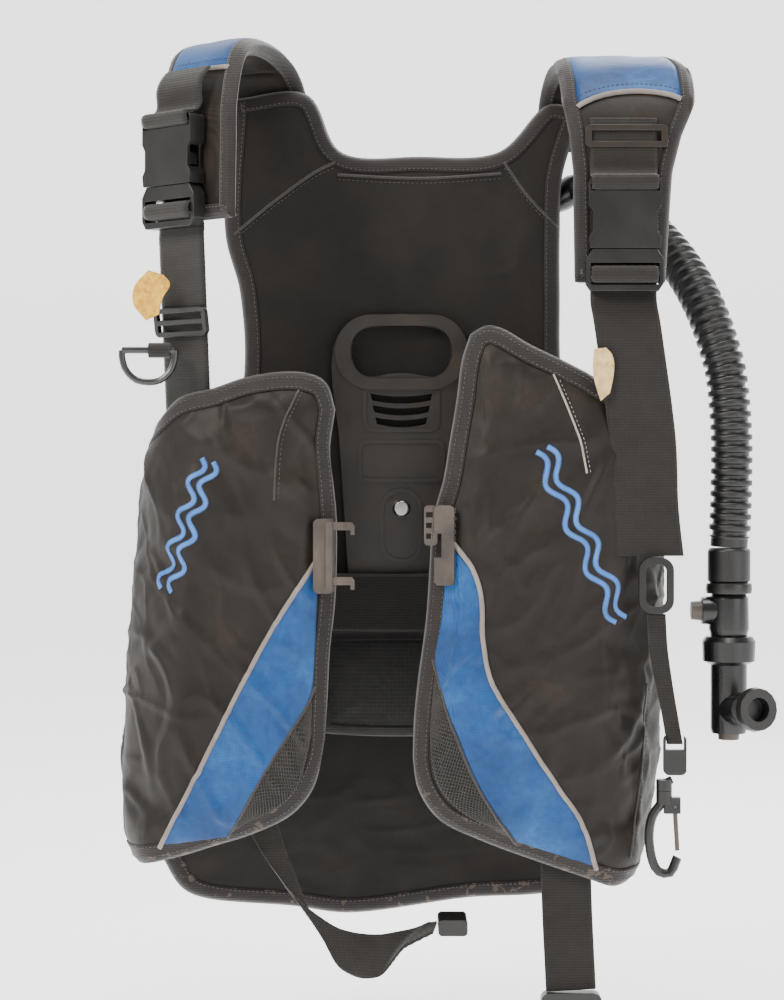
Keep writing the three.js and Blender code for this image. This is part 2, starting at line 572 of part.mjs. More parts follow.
part('accessory_strap', ribbon([[[accessoryX, accessoryY, -415.4], [7, 0, 0]],
  [[accessoryX + 2, accessoryY, -445], [7, 0, 0]], [[accessoryX + 10, accessoryY, -490], [6, 0, 0]],
  [[sliderX, accessoryY, -513], [6, 0, 0]]], 2, 10), webbing);
part('accessory_slider', cut(slab(rounded(sliderX, -521, 17, 30, 4), accessoryY - 3.5, accessoryY + 3.5),
  box(sliderX - 7, sliderX + 7, accessoryY - 9, accessoryY + 9, -517, -506)), blackPlastic);
const hookX = sliderX - 8;
const hookTop = -536.5;
part('snap_swivel', join(rod([hookX + 6, accessoryY, hookTop - 3], [hookX, accessoryY, hookTop - 6], 3),
  rod([hookX, accessoryY, hookTop - 3], [hookX, accessoryY, hookTop - 11], 6)), blackPlastic);
const eye = hookTop - 11 - gap;
const gateX = hookX + 8;
const gateZ = eye - 12;
const jaw = [[-1, -8], [-9, -20], [-11, -40], [-5, -60], [4, -62], [10, -50]]
  .map(([x, z]) => [hookX + x, accessoryY, eye + z]);
part('snap_hook', cut(join(rod([hookX, accessoryY, eye], [hookX, accessoryY, eye - 10], 6), tube(jaw, 3.6, 10, 18),
  box(hookX, hookX + 12, accessoryY - 4, accessoryY + 4, eye - 17, eye - 5)),
box(hookX + 2, hookX + 14, accessoryY - 2, accessoryY + 2, eye - 30, eye - 7),
rod([gateX, accessoryY - 15, gateZ], [gateX, accessoryY + 15, gateZ], 1.5 + gap)), blackPlastic);
part('snap_gate', join(rod([gateX, accessoryY - 3.5, gateZ], [gateX, accessoryY + 3.5, gateZ], 1.5),
  rod([gateX, accessoryY - 1.5, gateZ], [gateX, accessoryY + 1.5, gateZ], 3.4),
  rod([gateX, accessoryY, gateZ], [gateX + 2, accessoryY, eye - 45], 1.7)), greyPlastic);

// Front clip: a hook plate on the left lobe, a notched receiver and its ladder on the right.
const clipSeat = foldFace - lobeBulge - gap;
const clipMid = -372;
const hookArm = (z) => slab([[-46, z + 3.5], [-30, z + 3.5], [-28, z + 1], [-28, z - 6], [-31, z - 6],
  [-31, z - 2.5], [-46, z - 2.5]], clipSeat - 6, clipSeat - 1);
part('clip_hook_plate', join(slab(rounded(-51, clipMid, 16, 56, 4), clipSeat - 4, clipSeat),
  slab(rounded(-47, clipMid, 5, 52, 2), clipSeat - 7, clipSeat - 1), hookArm(clipMid + 22), hookArm(clipMid - 19)),
greyPlastic);
const ladder = slab(rounded(29, clipMid + 23, 10, 30, 3), foldFace - 4, foldFace - 1.4);
const rungs = [-8, 0, 8].map((step) => box(25.5, 30.5, foldFace - 9, foldFace + 3,
  clipMid + 21 + step, clipMid + 25 + step));
const edgeSeat = foldFace - 1.4;
part('clip_receiver', join(cut(slab(rounded(39, clipMid + 8, 15, 60, 4), edgeSeat - 5, edgeSeat),
  box(30, 37, edgeSeat - 9, edgeSeat + 3, clipMid - 1, clipMid + 17)), cut(ladder, ...rungs)), greyPlastic);

// Waist straps hang from the lobes and end in a side-squeeze buckle.
const waistTop = leftHem + 2;
part('left_waist_webbing', ribbon([[[-108, -60.4, waistTop + 30], [17, 0, -8]],
  [[-90, -60.4, waistTop - 12], [15, 0, -12]], [[-70, -63, waistTop - 48], [12, 0, -14]],
  [[-40, -68, waistTop - 82], [4, -2, -17]], [[-8, -74, waistTop - 86], [-4, -8, -15]],
  [[18, -77, waistTop - 70], [-8, -14, -6]], [[32, -78, waistTop - 64], [-2, -18, -1]]], webThick, 30), webbing);
part('waist_buckle_male', slab(rounded(45.5, waistTop - 61, 22, 12, 3), -98, -60), blackPlastic);
const stubTop = rightHem + 16;
part('right_waist_webbing', ribbon([[[132, -59.8, stubTop], [waistWidth / 2, 0, 1]],
  [[133, -60, stubTop - 40], [waistWidth / 2, 0, 1]], [[136, -62, stubTop - 104.8], [waistWidth / 2, 0, 1]]],
webThick, 6), webbing);
part('waist_buckle_female', cut(slab(rounded(136, stubTop - 124, waistWidth + 8, 36, 6), -69, -55),
  box(136 - waistWidth / 2 - 1, 136 + waistWidth / 2 + 1, -65, -59, stubTop - 150, stubTop - 114)), blackPlastic);

// Inflator: an elbow on the bladder, the corrugated hose, and the hand unit below it.
const facing = v3(chamferDown, 0, chamferIn).normalize();
const elbowSeat = v3(bladderRight - chamferIn / 2, behindBack + bladderThick / 2, bladderTop - chamferDown / 2);
const offSeat = (distance) => elbowSeat.clone().addScaledVector(facing, distance).toArray();
const hoseRoute = [[158, 66, -82], [169, 55, -89], [180, 43, -97], [192, 31, -106], [204, 18, -118],
  [215, 4, -132], [225, -10, -148], [234, -24, -166], [242, -35, -186], [249, -42, -208], [255, -46, -232],
  [258, -48, -260], [259.5, -48, -288], [259.5, -47, -315], [259, -46, -341], [258, -45, -366]];
const hoseEnd = hoseRoute[hoseRoute.length - 1];
part('hose_elbow', join(rod(offSeat(gap), offSeat(4), 16, 15), tube([offSeat(3), offSeat(10), offSeat(18),
  [139, 77.5, -84], [148, 73.5, -78.5], [155.4, 68.7, -79.8]], 12, 12, 14)), blackPlastic);
part('inflator_hose', tube(hoseRoute, hoseRadius, 12, 14), rubber);

const [unitX, unitY, unitTop] = [hoseEnd[0], hoseEnd[1], hoseEnd[2] - 4 * gap];
const lathe = (profile) => new THREE.LatheGeometry(profile.map(([r, z]) => new THREE.Vector2(r, z)), 20)
  .rotateX(Math.PI / 2);
const cuffEnd = -35;
part('hose_cuff', lathe([[0, cuffEnd], [14.6, cuffEnd], [14.6, -26], [16.4, -25], [16.4, -2], [15, 0], [0, 0]]),
  rubber).position.set(unitX, unitY, unitTop);
part('hose_tie', cut(join(lathe([[0, -34.5], [17.4, -34.5], [17.8, -31], [17.4, -27], [0, -27]]),
  box(-4, 4, 14, 22, -34, -28)), lathe([[0, -40], [15, -40], [15, -20], [0, -20]])), blackPlastic)
  .position.set(unitX, unitY, unitTop);
const bodyTop = cuffEnd - gap;
const buttonZ = -12.5;
const unit = frameAt(unitX, unitY, unitTop + bodyTop);
const unitHeight = 32;
part('inflator_body', cut(join(lathe([[0, -unitHeight], [14, -unitHeight], [inflatorRadius + 0.5, -26],
  [inflatorRadius, -3], [13, 0], [0, 0]]), rod([-6, 0, buttonZ], [-21, 0, buttonZ], 11.5, 10.5)),
rod([-16, 0, buttonZ], [-30, 0, buttonZ], 8 + gap)), blackPlastic, unit);
part('inflate_button', rod([-18.5, 0, buttonZ], [-29, 0, buttonZ], 8, 7), greyPlastic, unit);
const collarTop = -unitHeight - gap;
const tubeEnd = collarTop - 74;
const plungerHole = rod([0, 0, tubeEnd - 5], [0, 0, tubeEnd + 12], 9 + gap, 9 + gap);
part('mouthpiece_housing', cut(join(lathe([[0, tubeEnd], [13, tubeEnd], [14, tubeEnd + 4], [14, -54], [20, -51],
  [20.5, -36], [18, collarTop], [0, collarTop]]), rod([0, 0, -88], [9, -22, -86], 12.5, 12.5)),
plungerHole), blackPlastic, unit);
part('mouthpiece', cut(join(rod([9.2, -22.4, -86], [15, -36, -85], 12.5, 14.5),
  rod([14.5, -35, -85], [17, -41, -84.6], 17, 16)), rod([13, -31, -85], [19, -46, -84.3], 9, 9)), rubber, unit);
part('deflate_button', rod([0, 0, tubeEnd + 8], [0, 0, tubeEnd - 5], 9, 8), greyPlastic, unit);
part('low_pressure_nipple', join(rod([0, 14.8 + gap + 1, -16], [0, 21, -16], 5, 5, 16),
  rod([0, 20, -16], [0, 29, -16], 3.4, 3.4, 16), rod([0, 27, -16], [0, 30, -16], 4.6, 4.6, 16)), steel, unit);

export default vest;
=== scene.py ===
import math
import bpy
import bmesh
from mathutils import Matrix, Vector, noise
from mathutils.bvhtree import BVHTree
from mathutils.kdtree import KDTree


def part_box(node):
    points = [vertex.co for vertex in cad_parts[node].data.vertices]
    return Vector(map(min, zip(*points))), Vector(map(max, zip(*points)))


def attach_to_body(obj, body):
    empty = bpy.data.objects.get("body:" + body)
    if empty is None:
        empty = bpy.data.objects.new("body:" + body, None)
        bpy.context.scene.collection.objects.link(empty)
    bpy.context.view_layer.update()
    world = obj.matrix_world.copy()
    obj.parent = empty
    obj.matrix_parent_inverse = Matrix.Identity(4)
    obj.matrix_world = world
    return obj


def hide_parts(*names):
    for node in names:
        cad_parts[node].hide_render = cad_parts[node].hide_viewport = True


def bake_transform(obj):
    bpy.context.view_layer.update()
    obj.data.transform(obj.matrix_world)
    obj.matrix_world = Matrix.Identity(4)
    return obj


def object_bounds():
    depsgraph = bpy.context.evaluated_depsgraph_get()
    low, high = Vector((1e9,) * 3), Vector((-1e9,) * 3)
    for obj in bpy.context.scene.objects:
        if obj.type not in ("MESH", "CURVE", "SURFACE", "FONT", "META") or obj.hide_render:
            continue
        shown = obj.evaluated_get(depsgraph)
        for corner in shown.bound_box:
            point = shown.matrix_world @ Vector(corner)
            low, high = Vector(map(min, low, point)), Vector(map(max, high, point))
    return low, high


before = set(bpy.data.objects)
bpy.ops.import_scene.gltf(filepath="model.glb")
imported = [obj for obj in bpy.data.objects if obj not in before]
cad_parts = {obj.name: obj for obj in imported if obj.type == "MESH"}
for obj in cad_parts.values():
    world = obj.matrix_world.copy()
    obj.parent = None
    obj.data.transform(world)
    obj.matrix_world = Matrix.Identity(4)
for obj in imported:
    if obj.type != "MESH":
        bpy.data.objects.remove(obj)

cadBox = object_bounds()
mm = 0.001
scene = bpy.context.scene

# ---- camera, level with the lobes and square to the open front
view = {"distance": 1.8, "lobePlane": -0.082, "aimHeight": -0.330, "rise": 0.02, "lens": 86.4}
cameraData = bpy.data.cameras.new("camera")
cameraData.lens = view["lens"]
camera = bpy.data.objects.new("camera", cameraData)
scene.collection.objects.link(camera)
camera.location = (0, view["lobePlane"] - view["distance"], view["aimHeight"] + view["rise"])
aim = Vector((0, view["lobePlane"], view["aimHeight"])) - camera.location
camera.rotation_euler = aim.to_track_quat("-Z", "Y").to_euler()
scene.camera = camera


# ---- small geometry helpers
def inMetres(points):
    return [Vector(p) * mm for p in points]


class Curve:
    # a smooth line through its points, read by its share of the length
    def __init__(self, points, closed=False):
        pts = [Vector(p) for p in points]
        count = len(pts)
        self.samples = []
        spans = count if closed else count - 1
        for i in range(spans):
            if closed:
                a, b, c, d = (pts[(i + k) % count] for k in (-1, 0, 1, 2))
            else:
                b, c = pts[i], pts[i + 1]
                a = pts[i - 1] if i else b * 2 - c
                d = pts[i + 2] if i + 2 < count else c * 2 - b
            for k in range(12):
                self.samples.append(self.spline(a, b, c, d, k / 12))
        self.samples.append(pts[0].copy() if closed else pts[-1].copy())
        self.runs = [0.0]
        for a, b in zip(self.samples, self.samples[1:]):
            self.runs.append(self.runs[-1] + (b - a).length)
        self.length = self.runs[-1]

    @staticmethod
    def spline(a, b, c, d, t):
        # centripetal spacing keeps tight corners from looping
        knots = [0.0]
        for p, q in ((a, b), (b, c), (c, d)):
            knots.append(knots[-1] + max((q - p).length, 1e-9) ** 0.5)
        t0, t1, t2, t3 = knots
        t = t1 + (t2 - t1) * t
        ab = a.lerp(b, (t - t0) / (t1 - t0))
        bc = b.lerp(c, (t - t1) / (t2 - t1))
        cd = c.lerp(d, (t - t2) / (t3 - t2))
        abc = ab.lerp(bc, (t - t0) / (t2 - t0))
        bcd = bc.lerp(cd, (t - t1) / (t3 - t1))
        return abc.lerp(bcd, (t - t1) / (t2 - t1))

    def at(self, share):
        goal = min(max(share, 0.0), 1.0) * self.length
        low, high = 0, len(self.runs) - 1
        while high - low > 1:
            mid = (low + high) // 2
            low, high = (mid, high) if self.runs[mid] <= goal else (low, mid)
        span = self.runs[high] - self.runs[low]
        return self.samples[low].lerp(self.samples[high], (goal - self.runs[low]) / span if span else 0)

    def tangent(self, share):
        return (self.at(share + 0.004) - self.at(share - 0.004)).normalized()


def smooth(value):
    value = min(max(value, 0.0), 1.0)
    return value * value * (3 - 2 * value)


def edited(mesh, *changes):
    bm = bmesh.new()
    bm.from_mesh(mesh)
    for change in changes:
        change(bm)
    bm.to_mesh(mesh)
    bm.free()


def faceOutward(bm):
    bmesh.ops.recalc_face_normals(bm, faces=bm.faces)


def makeObject(name, points, faces, look, body="root", shade=True):
    mesh = bpy.data.meshes.new(name)
    mesh.from_pydata([tuple(p) for p in points], [], faces)
    mesh.validate()
    edited(mesh, faceOutward)
    obj = bpy.data.objects.new(name, mesh)
    scene.collection.objects.link(obj)
    finishPiece(obj, look, body, shade)
    return obj


def finishPiece(obj, look, body, shade=True):
    obj.data.materials.clear()
    obj.data.materials.append(look["material"])
    shadeSmooth(obj, shade)
    if body:
        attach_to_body(obj, body)


def shadeSmooth(obj, shade=True):
    for polygon in obj.data.polygons:
        polygon.use_smooth = shade


def applyModifiers(obj):
    graph = bpy.context.evaluated_depsgraph_get()
    mesh = bpy.data.meshes.new_from_object(obj.evaluated_get(graph))
    old = obj.data
    obj.modifiers.clear()
    obj.data = mesh
    bpy.data.meshes.remove(old)


# a closed skin over rings of points, each ring with the same count
def ringSkin(name, rings, look, body="root", capped=True):
    around = len(rings[0])
    points = [p for ring in rings for p in ring]
    faces = []
    for i in range(len(rings) - 1):
        for j in range(around):
            a, b = i * around + j, i * around + (j + 1) % around
            faces.append((a, b, b + around, a + around))
    if capped:
        faces.append(tuple(range(around)))
        last = (len(rings) - 1) * around
        faces.append(tuple(last + j for j in range(around)))
    return makeObject(name, points, faces, look, body)


# a round line: piping, cord or wire
def roundLine(name, curve, radius, look, body="root", sides=8, step=2.5 * mm, closed=False):
    count = max(int(curve.length / step), 6)
    rings = []
    side = None
    for i in range(count if closed else count + 1):
        share = i / count
        here = curve.at(share)
        ahead = (curve.at((share + 0.003) % 1.0) - curve.at((share - 0.003) % 1.0)).normalized() if closed \
            else curve.tangent(share)
        if side is None:
            side = ahead.orthogonal().normalized()
        side = (side - ahead * side.dot(ahead)).normalized()
        up = ahead.cross(side)
        size = radius(share) if callable(radius) else radius
        turns = [2 * math.pi * k / sides for k in range(sides)]
        rings.append([here + (side * math.cos(t) + up * math.sin(t)) * size for t in turns])
    if closed:
        rings.append(rings[0])
        obj = ringSkin(name, rings, look, body, capped=False)
        weld(obj)
        return obj
    return ringSkin(name, rings, look, body)


def weld(obj, distance=1e-6):
    edited(obj.data, lambda bm: bmesh.ops.remove_doubles(bm, verts=bm.verts, dist=distance), faceOutward)


def surfaceOf(obj):
    mesh = obj.data
    corners = [v.co.copy() for v in mesh.vertices]
    return BVHTree.FromPolygons(corners, [tuple(p.vertices) for p in mesh.polygons])


# the point of a surface in front of (x, z), lifted off it
def onFront(tree, x, z, lift):
    hit, normal, _, _ = tree.ray_cast(Vector((x, -0.4, z)), Vector((0, 1, 0)))
    if hit is None:
        hit, normal, _, _ = tree.find_nearest(Vector((x, -0.09, z)))
    if normal.y > 0:
        normal = -normal
    return hit + normal * lift, normal


# short thread stitches along a line that lies on a surface
def stitches(name, places, look, body="root", length=2.3 * mm, pitch=3.6 * mm, thick=0.42 * mm, satin=False):
    curve = Curve([p for p, _ in places])
    normals = [n for _, n in places]
    points, faces = [], []
    count = int(curve.length / pitch)
    for i in range(count):
        share = (i + 0.5) / count
        here, ahead = curve.at(share), curve.tangent(share)
        normal = normals[min(int(share * (len(normals) - 1)), len(normals) - 1)]
        across = ahead.cross(normal).normalized()
        if satin:
            ahead, across = across, ahead
        base = len(points)
        for along, wide, high in ((-1, 0, 0), (-0.55, 1, 0), (-0.55, 0, 1), (-0.55, -1, 0), (0.55, 1, 0),
                                  (0.55, 0, 1), (0.55, -1, 0), (1, 0, 0)):
            spot = here + ahead * along * length / 2
            points.append(spot + across * wide * thick * 0.6 + normal * high * thick)
        for face in ((0, 2, 1), (0, 3, 2), (0, 1, 3), (1, 2, 5, 4), (2, 3, 6, 5), (3, 1, 4, 6), (4, 5, 7),
                     (5, 6, 7), (6, 4, 7)):
            faces.append(tuple(base + k for k in face))
    return makeObject(name, points, faces, look, body, shade=False)


# ---- shader sockets as numbers
class Socket:
    def __init__(self, tree, link):
        self.tree = tree
        self.link = link

    def maths(self, operation, other=None):
        node = self.tree.nodes.new("ShaderNodeMath")
        node.operation = operation
        for place, value in enumerate((self, other)):
            if isinstance(value, Socket):
                self.tree.links.new(value.link, node.inputs[place])
            elif value is not None:
                node.inputs[place].default_value = value
        return Socket(self.tree, node.outputs[0])

    def __add__(self, other):
        return self.maths("ADD", other)

    def __radd__(self, other):
        return self.maths("ADD", other)

    def __sub__(self, other):
        return self.maths("SUBTRACT", other)

    def __mul__(self, other):
        return self.maths("MULTIPLY", other)

    def __gt__(self, other):
        return self.maths("GREATER_THAN", other)

    def __lt__(self, other):
        return self.maths("LESS_THAN", other)


class Finish:
    # one material: its tree, its shader and the two ways of adding to it
    def __init__(self, name, slot, **constants):
        self.material = bpy.data.materials.new(name)
        self.material.use_nodes = True
        self.tree = self.material.node_tree
        self.shader = self.tree.nodes["Principled BSDF"]
        self.slot = slot
        for socket, value in constants.items():
            self.shader.inputs[socket.replace("_", " ")].default_value = value
        self.place = self.node("ShaderNodeTexCoord").outputs["Object"]

    def node(self, kind, settings=None, inputs=None):
        node = self.tree.nodes.new(kind)
        for key, value in (settings or {}).items():
            if key == "stops":
                ramp = node.color_ramp
                while len(ramp.elements) < len(value):
                    ramp.elements.new(0.5)
                for element, (where, colour) in zip(ramp.elements, value):
                    element.position = where
                    element.color = (*colour, 1)
            else:
                setattr(node, key, value)
        for key, value in (inputs or {}).items():
            if isinstance(value, Socket):
                self.tree.links.new(value.link, node.inputs[key])
            elif isinstance(value, bpy.types.NodeSocket):
                self.tree.links.new(value, node.inputs[key])
            else:
                node.inputs[key].default_value = value
        return node

    def noise(self, size, detail=3, rough=0.5, stretch=None):
        where = self.place
        if stretch:
            scaled = self.node("ShaderNodeVectorMath", {"operation": "MULTIPLY"}, {0: where, 1: stretch})
            where = scaled.outputs[0]
        node = self.node("ShaderNodeTexNoise", None, {"Vector": where, "Scale": 1 / (size * mm),
                                                      "Detail": detail, "Roughness": rough})
        return Socket(self.tree, node.outputs[0])

    def cells(self, size, spread=1.0):
        node = self.node("ShaderNodeTexVoronoi", None,
                         {"Vector": self.place, "Scale": 1 / (size * mm), "Randomness": spread})
        return Socket(self.tree, node.outputs["Distance"])

    def axis(self, name):
        node = self.node("ShaderNodeSeparateXYZ", None, {0: self.place})
        return Socket(self.tree, node.outputs[name])

    def wave(self, value, pitch):
        return (value * (2 * math.pi / (pitch * mm))).maths("SINE") * 0.5 + 0.5

    def ramp(self, value, stops):
        node = self.node("ShaderNodeValToRGB", {"stops": stops}, {0: value})
        return node.outputs["Color"]

    def mix(self, factor, first, second):
        node = self.node("ShaderNodeMix", {"data_type": "RGBA"}, {0: factor, 6: first, 7: second})
        return node.outputs[2]

    def colour(self, link):
        self.tree.links.new(link, self.shader.inputs["Base Color"])

    def rough(self, value):
        self.tree.links.new(value.link, self.shader.inputs["Roughness"])

    def bump(self, height, strength, distance):
        last = self.shader.inputs["Normal"].links
        inputs = {"Height": height, "Strength": strength, "Distance": distance * mm}
        if last:
            inputs["Normal"] = last[0].from_socket
        node = self.node("ShaderNodeBump", None, inputs)
        self.tree.links.new(node.outputs[0], self.shader.inputs["Normal"])

    def look(self):
        return {"material": self.material, "slot": self.slot}


def rgb(red, green, blue):
    # screen values, 0 to 255, as light
    shares = [c / 255 for c in (red, green, blue)]
    return tuple(c / 12.92 if c <= 10 / 255 else ((c + 0.055) / 1.055) ** 2.4 for c in shares)


def rgba(red, green, blue):
    return (*rgb(red, green, blue), 1)


# ---- finishes
def wovenFabric(name, slot, dark, mid, light, pitch=1.1, sheen=0.25, roughness=0.62):
    f = Finish(name, slot, Roughness=roughness, Sheen_Weight=sheen, Sheen_Roughness=0.4,
               Specular_IOR_Level=0.27)
    warp = f.wave(f.axis("X") + f.axis("Y"), pitch)
    weft = f.wave(f.axis("Z") - f.axis("Y"), pitch)
    weave = warp * weft
    cloud = f.noise(46, 4)
    fine = f.noise(5, 3, 0.6)
    tone = cloud * 0.6 + fine * 0.25 + weave * 0.15
    f.colour(f.ramp(tone, ((0.3, dark), (0.52, mid), (0.72, light))))
    f.rough(roughness - 0.1 + fine * 0.14 + weave * 0.08)
    f.bump(f.noise(22, 3), 0.35, 1.6)
    f.bump(fine, 0.25, 0.5)
    f.bump(weave, 0.3, 0.12)
    return f.look()


def webbingFinish(name, slot, dark, mid, dots, dotAmount=0.55, worn=None):
    f = Finish(name, slot, Roughness=0.7, Sheen_Weight=0.2, Sheen_Roughness=0.5, Specular_IOR_Level=0.3)
    ribs = f.wave(f.axis("Z"), 2.1)
    across = f.wave(f.axis("X") + f.axis("Y"), 3.1)
    weave = ribs * 0.6 + ribs * across * 0.6
    speck = f.cells(1.5)
    dotted = (speck < 0.2) * dotAmount
    tone = weave * 0.5 + f.noise(30, 3) * 0.5
    shade = f.mix(dotted, f.ramp(tone, ((0.25, dark), (0.75, mid))), (*dots, 1))
    if worn:
        # brown rubbed places, most of them along the hem
        patches = (f.noise(9, 4, 0.6) > 0.6) * (f.axis("Z") < -0.55) * 0.55
        shade = f.mix(patches, shade, (*worn, 1))
    f.colour(shade)
    f.rough(0.62 + f.noise(8) * 0.2)
    f.bump(f.noise(12), 0.25, 0.6)
    f.bump(weave, 0.5, 0.25)
    return f.look()


def mouldedPlastic(name, slot, dark, light, roughness=0.36, coat=0.0, grain=0.9, metal=0.0):
    f = Finish(name, slot, Roughness=roughness, Specular_IOR_Level=0.5, Coat_Weight=coat, Coat_Roughness=0.25,
               Metallic=metal)
    pits = f.cells(grain)
    cloud = f.noise(28, 4)
    scuff = f.noise(4, 5, 0.7, (1.0, 1.0, 0.25))
    f.colour(f.ramp(cloud * 0.7 + scuff * 0.3, ((0.35, dark), (0.68, light))))
    f.rough(roughness - 0.08 + cloud * 0.1 + scuff * 0.12)
    f.bump(cloud, 0.1, 0.6)
    f.bump(pits, 0.16, 0.06)
    return f.look()


darkFabric = wovenFabric("coated dark fabric", "fabric", rgb(8, 5, 3), rgb(22, 16, 11), rgb(44, 34, 25),
                         sheen=0.04, roughness=0.56)
blueFabric = wovenFabric("blue facing fabric", "blue_fabric", rgb(9, 45, 90), rgb(18, 68, 122),
                         rgb(44, 100, 156), sheen=0.08, roughness=0.48)
backFabric = wovenFabric("back fabric", "fabric", rgb(6, 5, 4), rgb(18, 14, 11), rgb(34, 28, 22),
                         pitch=1.5, sheen=0.05, roughness=0.66)
webbing = webbingFinish("ribbed webbing", "webbing", rgb(7, 5, 4), rgb(27, 22, 18), rgb(66, 57, 48), 0.25)
binding = webbingFinish("binding tape", "fabric", rgb(10, 7, 7), rgb(31, 24, 23), rgb(70, 58, 50), 0.25,
                        rgb(86, 74, 64))
blackPlastic = mouldedPlastic("satin black plastic", "black_plastic", rgb(6, 6, 6), rgb(20, 19, 19), 0.32)
hosePlastic = mouldedPlastic("glossy black plastic", "black_plastic", rgb(6, 6, 7), rgb(19, 19, 20), 0.26)
greyPlastic = mouldedPlastic("warm grey plastic", "grey_plastic", rgb(42, 36, 32), rgb(80, 71, 64), 0.42)
platePlastic = mouldedPlastic("back plate plastic", "grey_plastic", rgb(16, 12, 9), rgb(38, 29, 22), 0.34)
rubber = mouldedPlastic("hose rubber", "rubber", rgb(6, 6, 7), rgb(20, 20, 21), 0.4, grain=0.7)
blackSteel = mouldedPlastic("black coated steel", "black_steel", rgb(8, 8, 9), rgb(28, 28, 30), 0.3, 0.3)


def steelFinish():
    f = Finish("stainless steel", "steel", Metallic=1.0, Roughness=0.26, Specular_IOR_Level=0.5)
    brushed = f.noise(0.6, 2, 0.5, (1.0, 1.0, 0.1))
    cloud = f.noise(9, 4)
    f.colour(f.ramp(cloud, ((0.3, rgb(150, 150, 150)), (0.7, rgb(200, 200, 198)))))
    f.rough(0.2 + brushed * 0.14 + cloud * 0.06)
    f.bump(brushed, 0.15, 0.05)
    return f.look()


def meshFinish():
    f = Finish("coarse black mesh", "fabric", Roughness=0.66, Sheen_Weight=0.15, Specular_IOR_Level=0.35)
    holes = f.cells(3.2, spread=0.12)
    # painted shade: the hole centres are painted near black, the shade in the openings together with the dark
    # cloth under them
    netting = f.ramp(holes, ((0.24, rgb(2, 2, 2)), (0.5, rgb(16, 14, 13))))
    f.colour(f.mix(f.noise(26, 3) * 0.4, netting, rgba(12, 11, 10)))
    f.rough(0.5 + f.noise(5) * 0.3)
    f.bump(holes, 0.8, 0.8)
    return f.look()


def cordFinish(name, slot, dark, light):
    f = Finish(name, slot, Roughness=0.6, Sheen_Weight=0.25, Specular_IOR_Level=0.4)
    turns = f.wave(f.axis("X") + f.axis("Z") * 1.3, 1.4)
    f.colour(f.ramp(turns * 0.4 + f.noise(14) * 0.6, ((0.25, dark), (0.75, light))))
    f.rough(0.5 + f.noise(3) * 0.2)
    f.bump(turns, 0.4, 0.15)
    return f.look()


def tapeFinish(name, dark, light, edge):
    f = Finish(name, "pale_tape", Roughness=0.55, Specular_IOR_Level=0.4)
    crease = f.noise(6, 4, 0.65)
    # painted shade: the dark end of the ramp falls in the dents of the crease noise that also bumps the tag, so
    # its creases are shaded in its colour
    tone = f.ramp(crease, ((0.35, dark), (0.62, light)))
    f.colour(f.mix((f.noise(3.2, 4) > 0.66) * 0.5, tone, (*edge, 1)))
    f.rough(0.45 + crease * 0.25)
    f.bump(crease, 0.5, 0.7)
    f.bump(f.cells(0.8), 0.2, 0.08)
    return f.look()


steel = steelFinish()
coarseMesh = meshFinish()
piping = cordFinish("grey piping", "fabric", rgb(92, 84, 80), rgb(142, 132, 126))
darkCord = cordFinish("dark edge cord", "fabric", rgb(22, 19, 18), rgb(48, 42, 40))
thread = cordFinish("dark thread", "fabric", rgb(48, 43, 40), rgb(84, 76, 70))
paleThread = cordFinish("pale thread", "fabric", rgb(120, 112, 104), rgb(168, 160, 150))
yellowTape = tapeFinish("yellow cloth tag", rgb(176, 124, 22), rgb(216, 168, 56), rgb(120, 84, 22))
creamTape = tapeFinish("cream cloth tag", rgb(180, 150, 98), rgb(212, 182, 130), rgb(130, 112, 80))
print("finishes ready")


# ---- the corrugated hose and its hand unit, a free hose that ends in the mouthpiece
hose = {
    "route": ((158, 66, -82), (169, 55, -89), (180, 43, -97), (192, 31, -106), (204, 18, -118),
              (215, 4, -132),
              (225, -10, -148), (234, -24, -166), (242, -35, -186), (249, -42, -208), (255, -46, -232),
              (258, -48, -260), (259.5, -48, -288), (259.5, -47, -315), (259, -46, -341), (258, -45, -366)),
    "outer": 15.9, "groove": 13.3, "pitch": 8.6,
}
hoseCurve = Curve(inMetres(hose["route"]))


def hoseRadius(share):
    run = share * hoseCurve.length / mm
    plain = min(run, hoseCurve.length / mm - run)
    swell = 0.5 - 0.5 * math.cos(2 * math.pi * run / hose["pitch"])
    rib = smooth(min(max((swell - 0.2) / 0.5, 0), 1))
    if plain < 7:
        rib = 0.35
    return (hose["groove"] + (hose["outer"] - hose["groove"]) * rib) * mm


hosePiece = roundLine("corrugated_hose", hoseCurve, hoseRadius, rubber, "inflator", sides=40, step=0.86 * mm)
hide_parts("inflator_hose")
print("hose ready, length", round(hoseCurve.length, 3))


# ---- hard pieces keep their CAD shape, with their edges broken
edgeBreak = {"width": 0.55, "small": 0.35, "angle": 32, "segments": 2, "level": 1.0}


def refined(node, look, body, width=None):
    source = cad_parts[node]
    obj = bpy.data.objects.new(node + "_finished", source.data.copy())
    scene.collection.objects.link(obj)
    weld(obj, 2e-5)
    level = math.radians(edgeBreak["level"])
    edited(obj.data, lambda bm: bmesh.ops.dissolve_limit(bm, angle_limit=level, verts=bm.verts,
                                                         edges=bm.edges))
    shadeSmooth(obj)
    bevel = obj.modifiers.new("edges", "BEVEL")
    bevel.width = (width or edgeBreak["width"]) * mm
    bevel.segments = edgeBreak["segments"]
    bevel.limit_method = "ANGLE"
    bevel.angle_limit = math.radians(edgeBreak["angle"])
    even = obj.modifiers.new("flat faces", "WEIGHTED_NORMAL")
    even.weight = 100
    applyModifiers(obj)
    finishPiece(obj, look, body)
    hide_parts(node)
    return obj


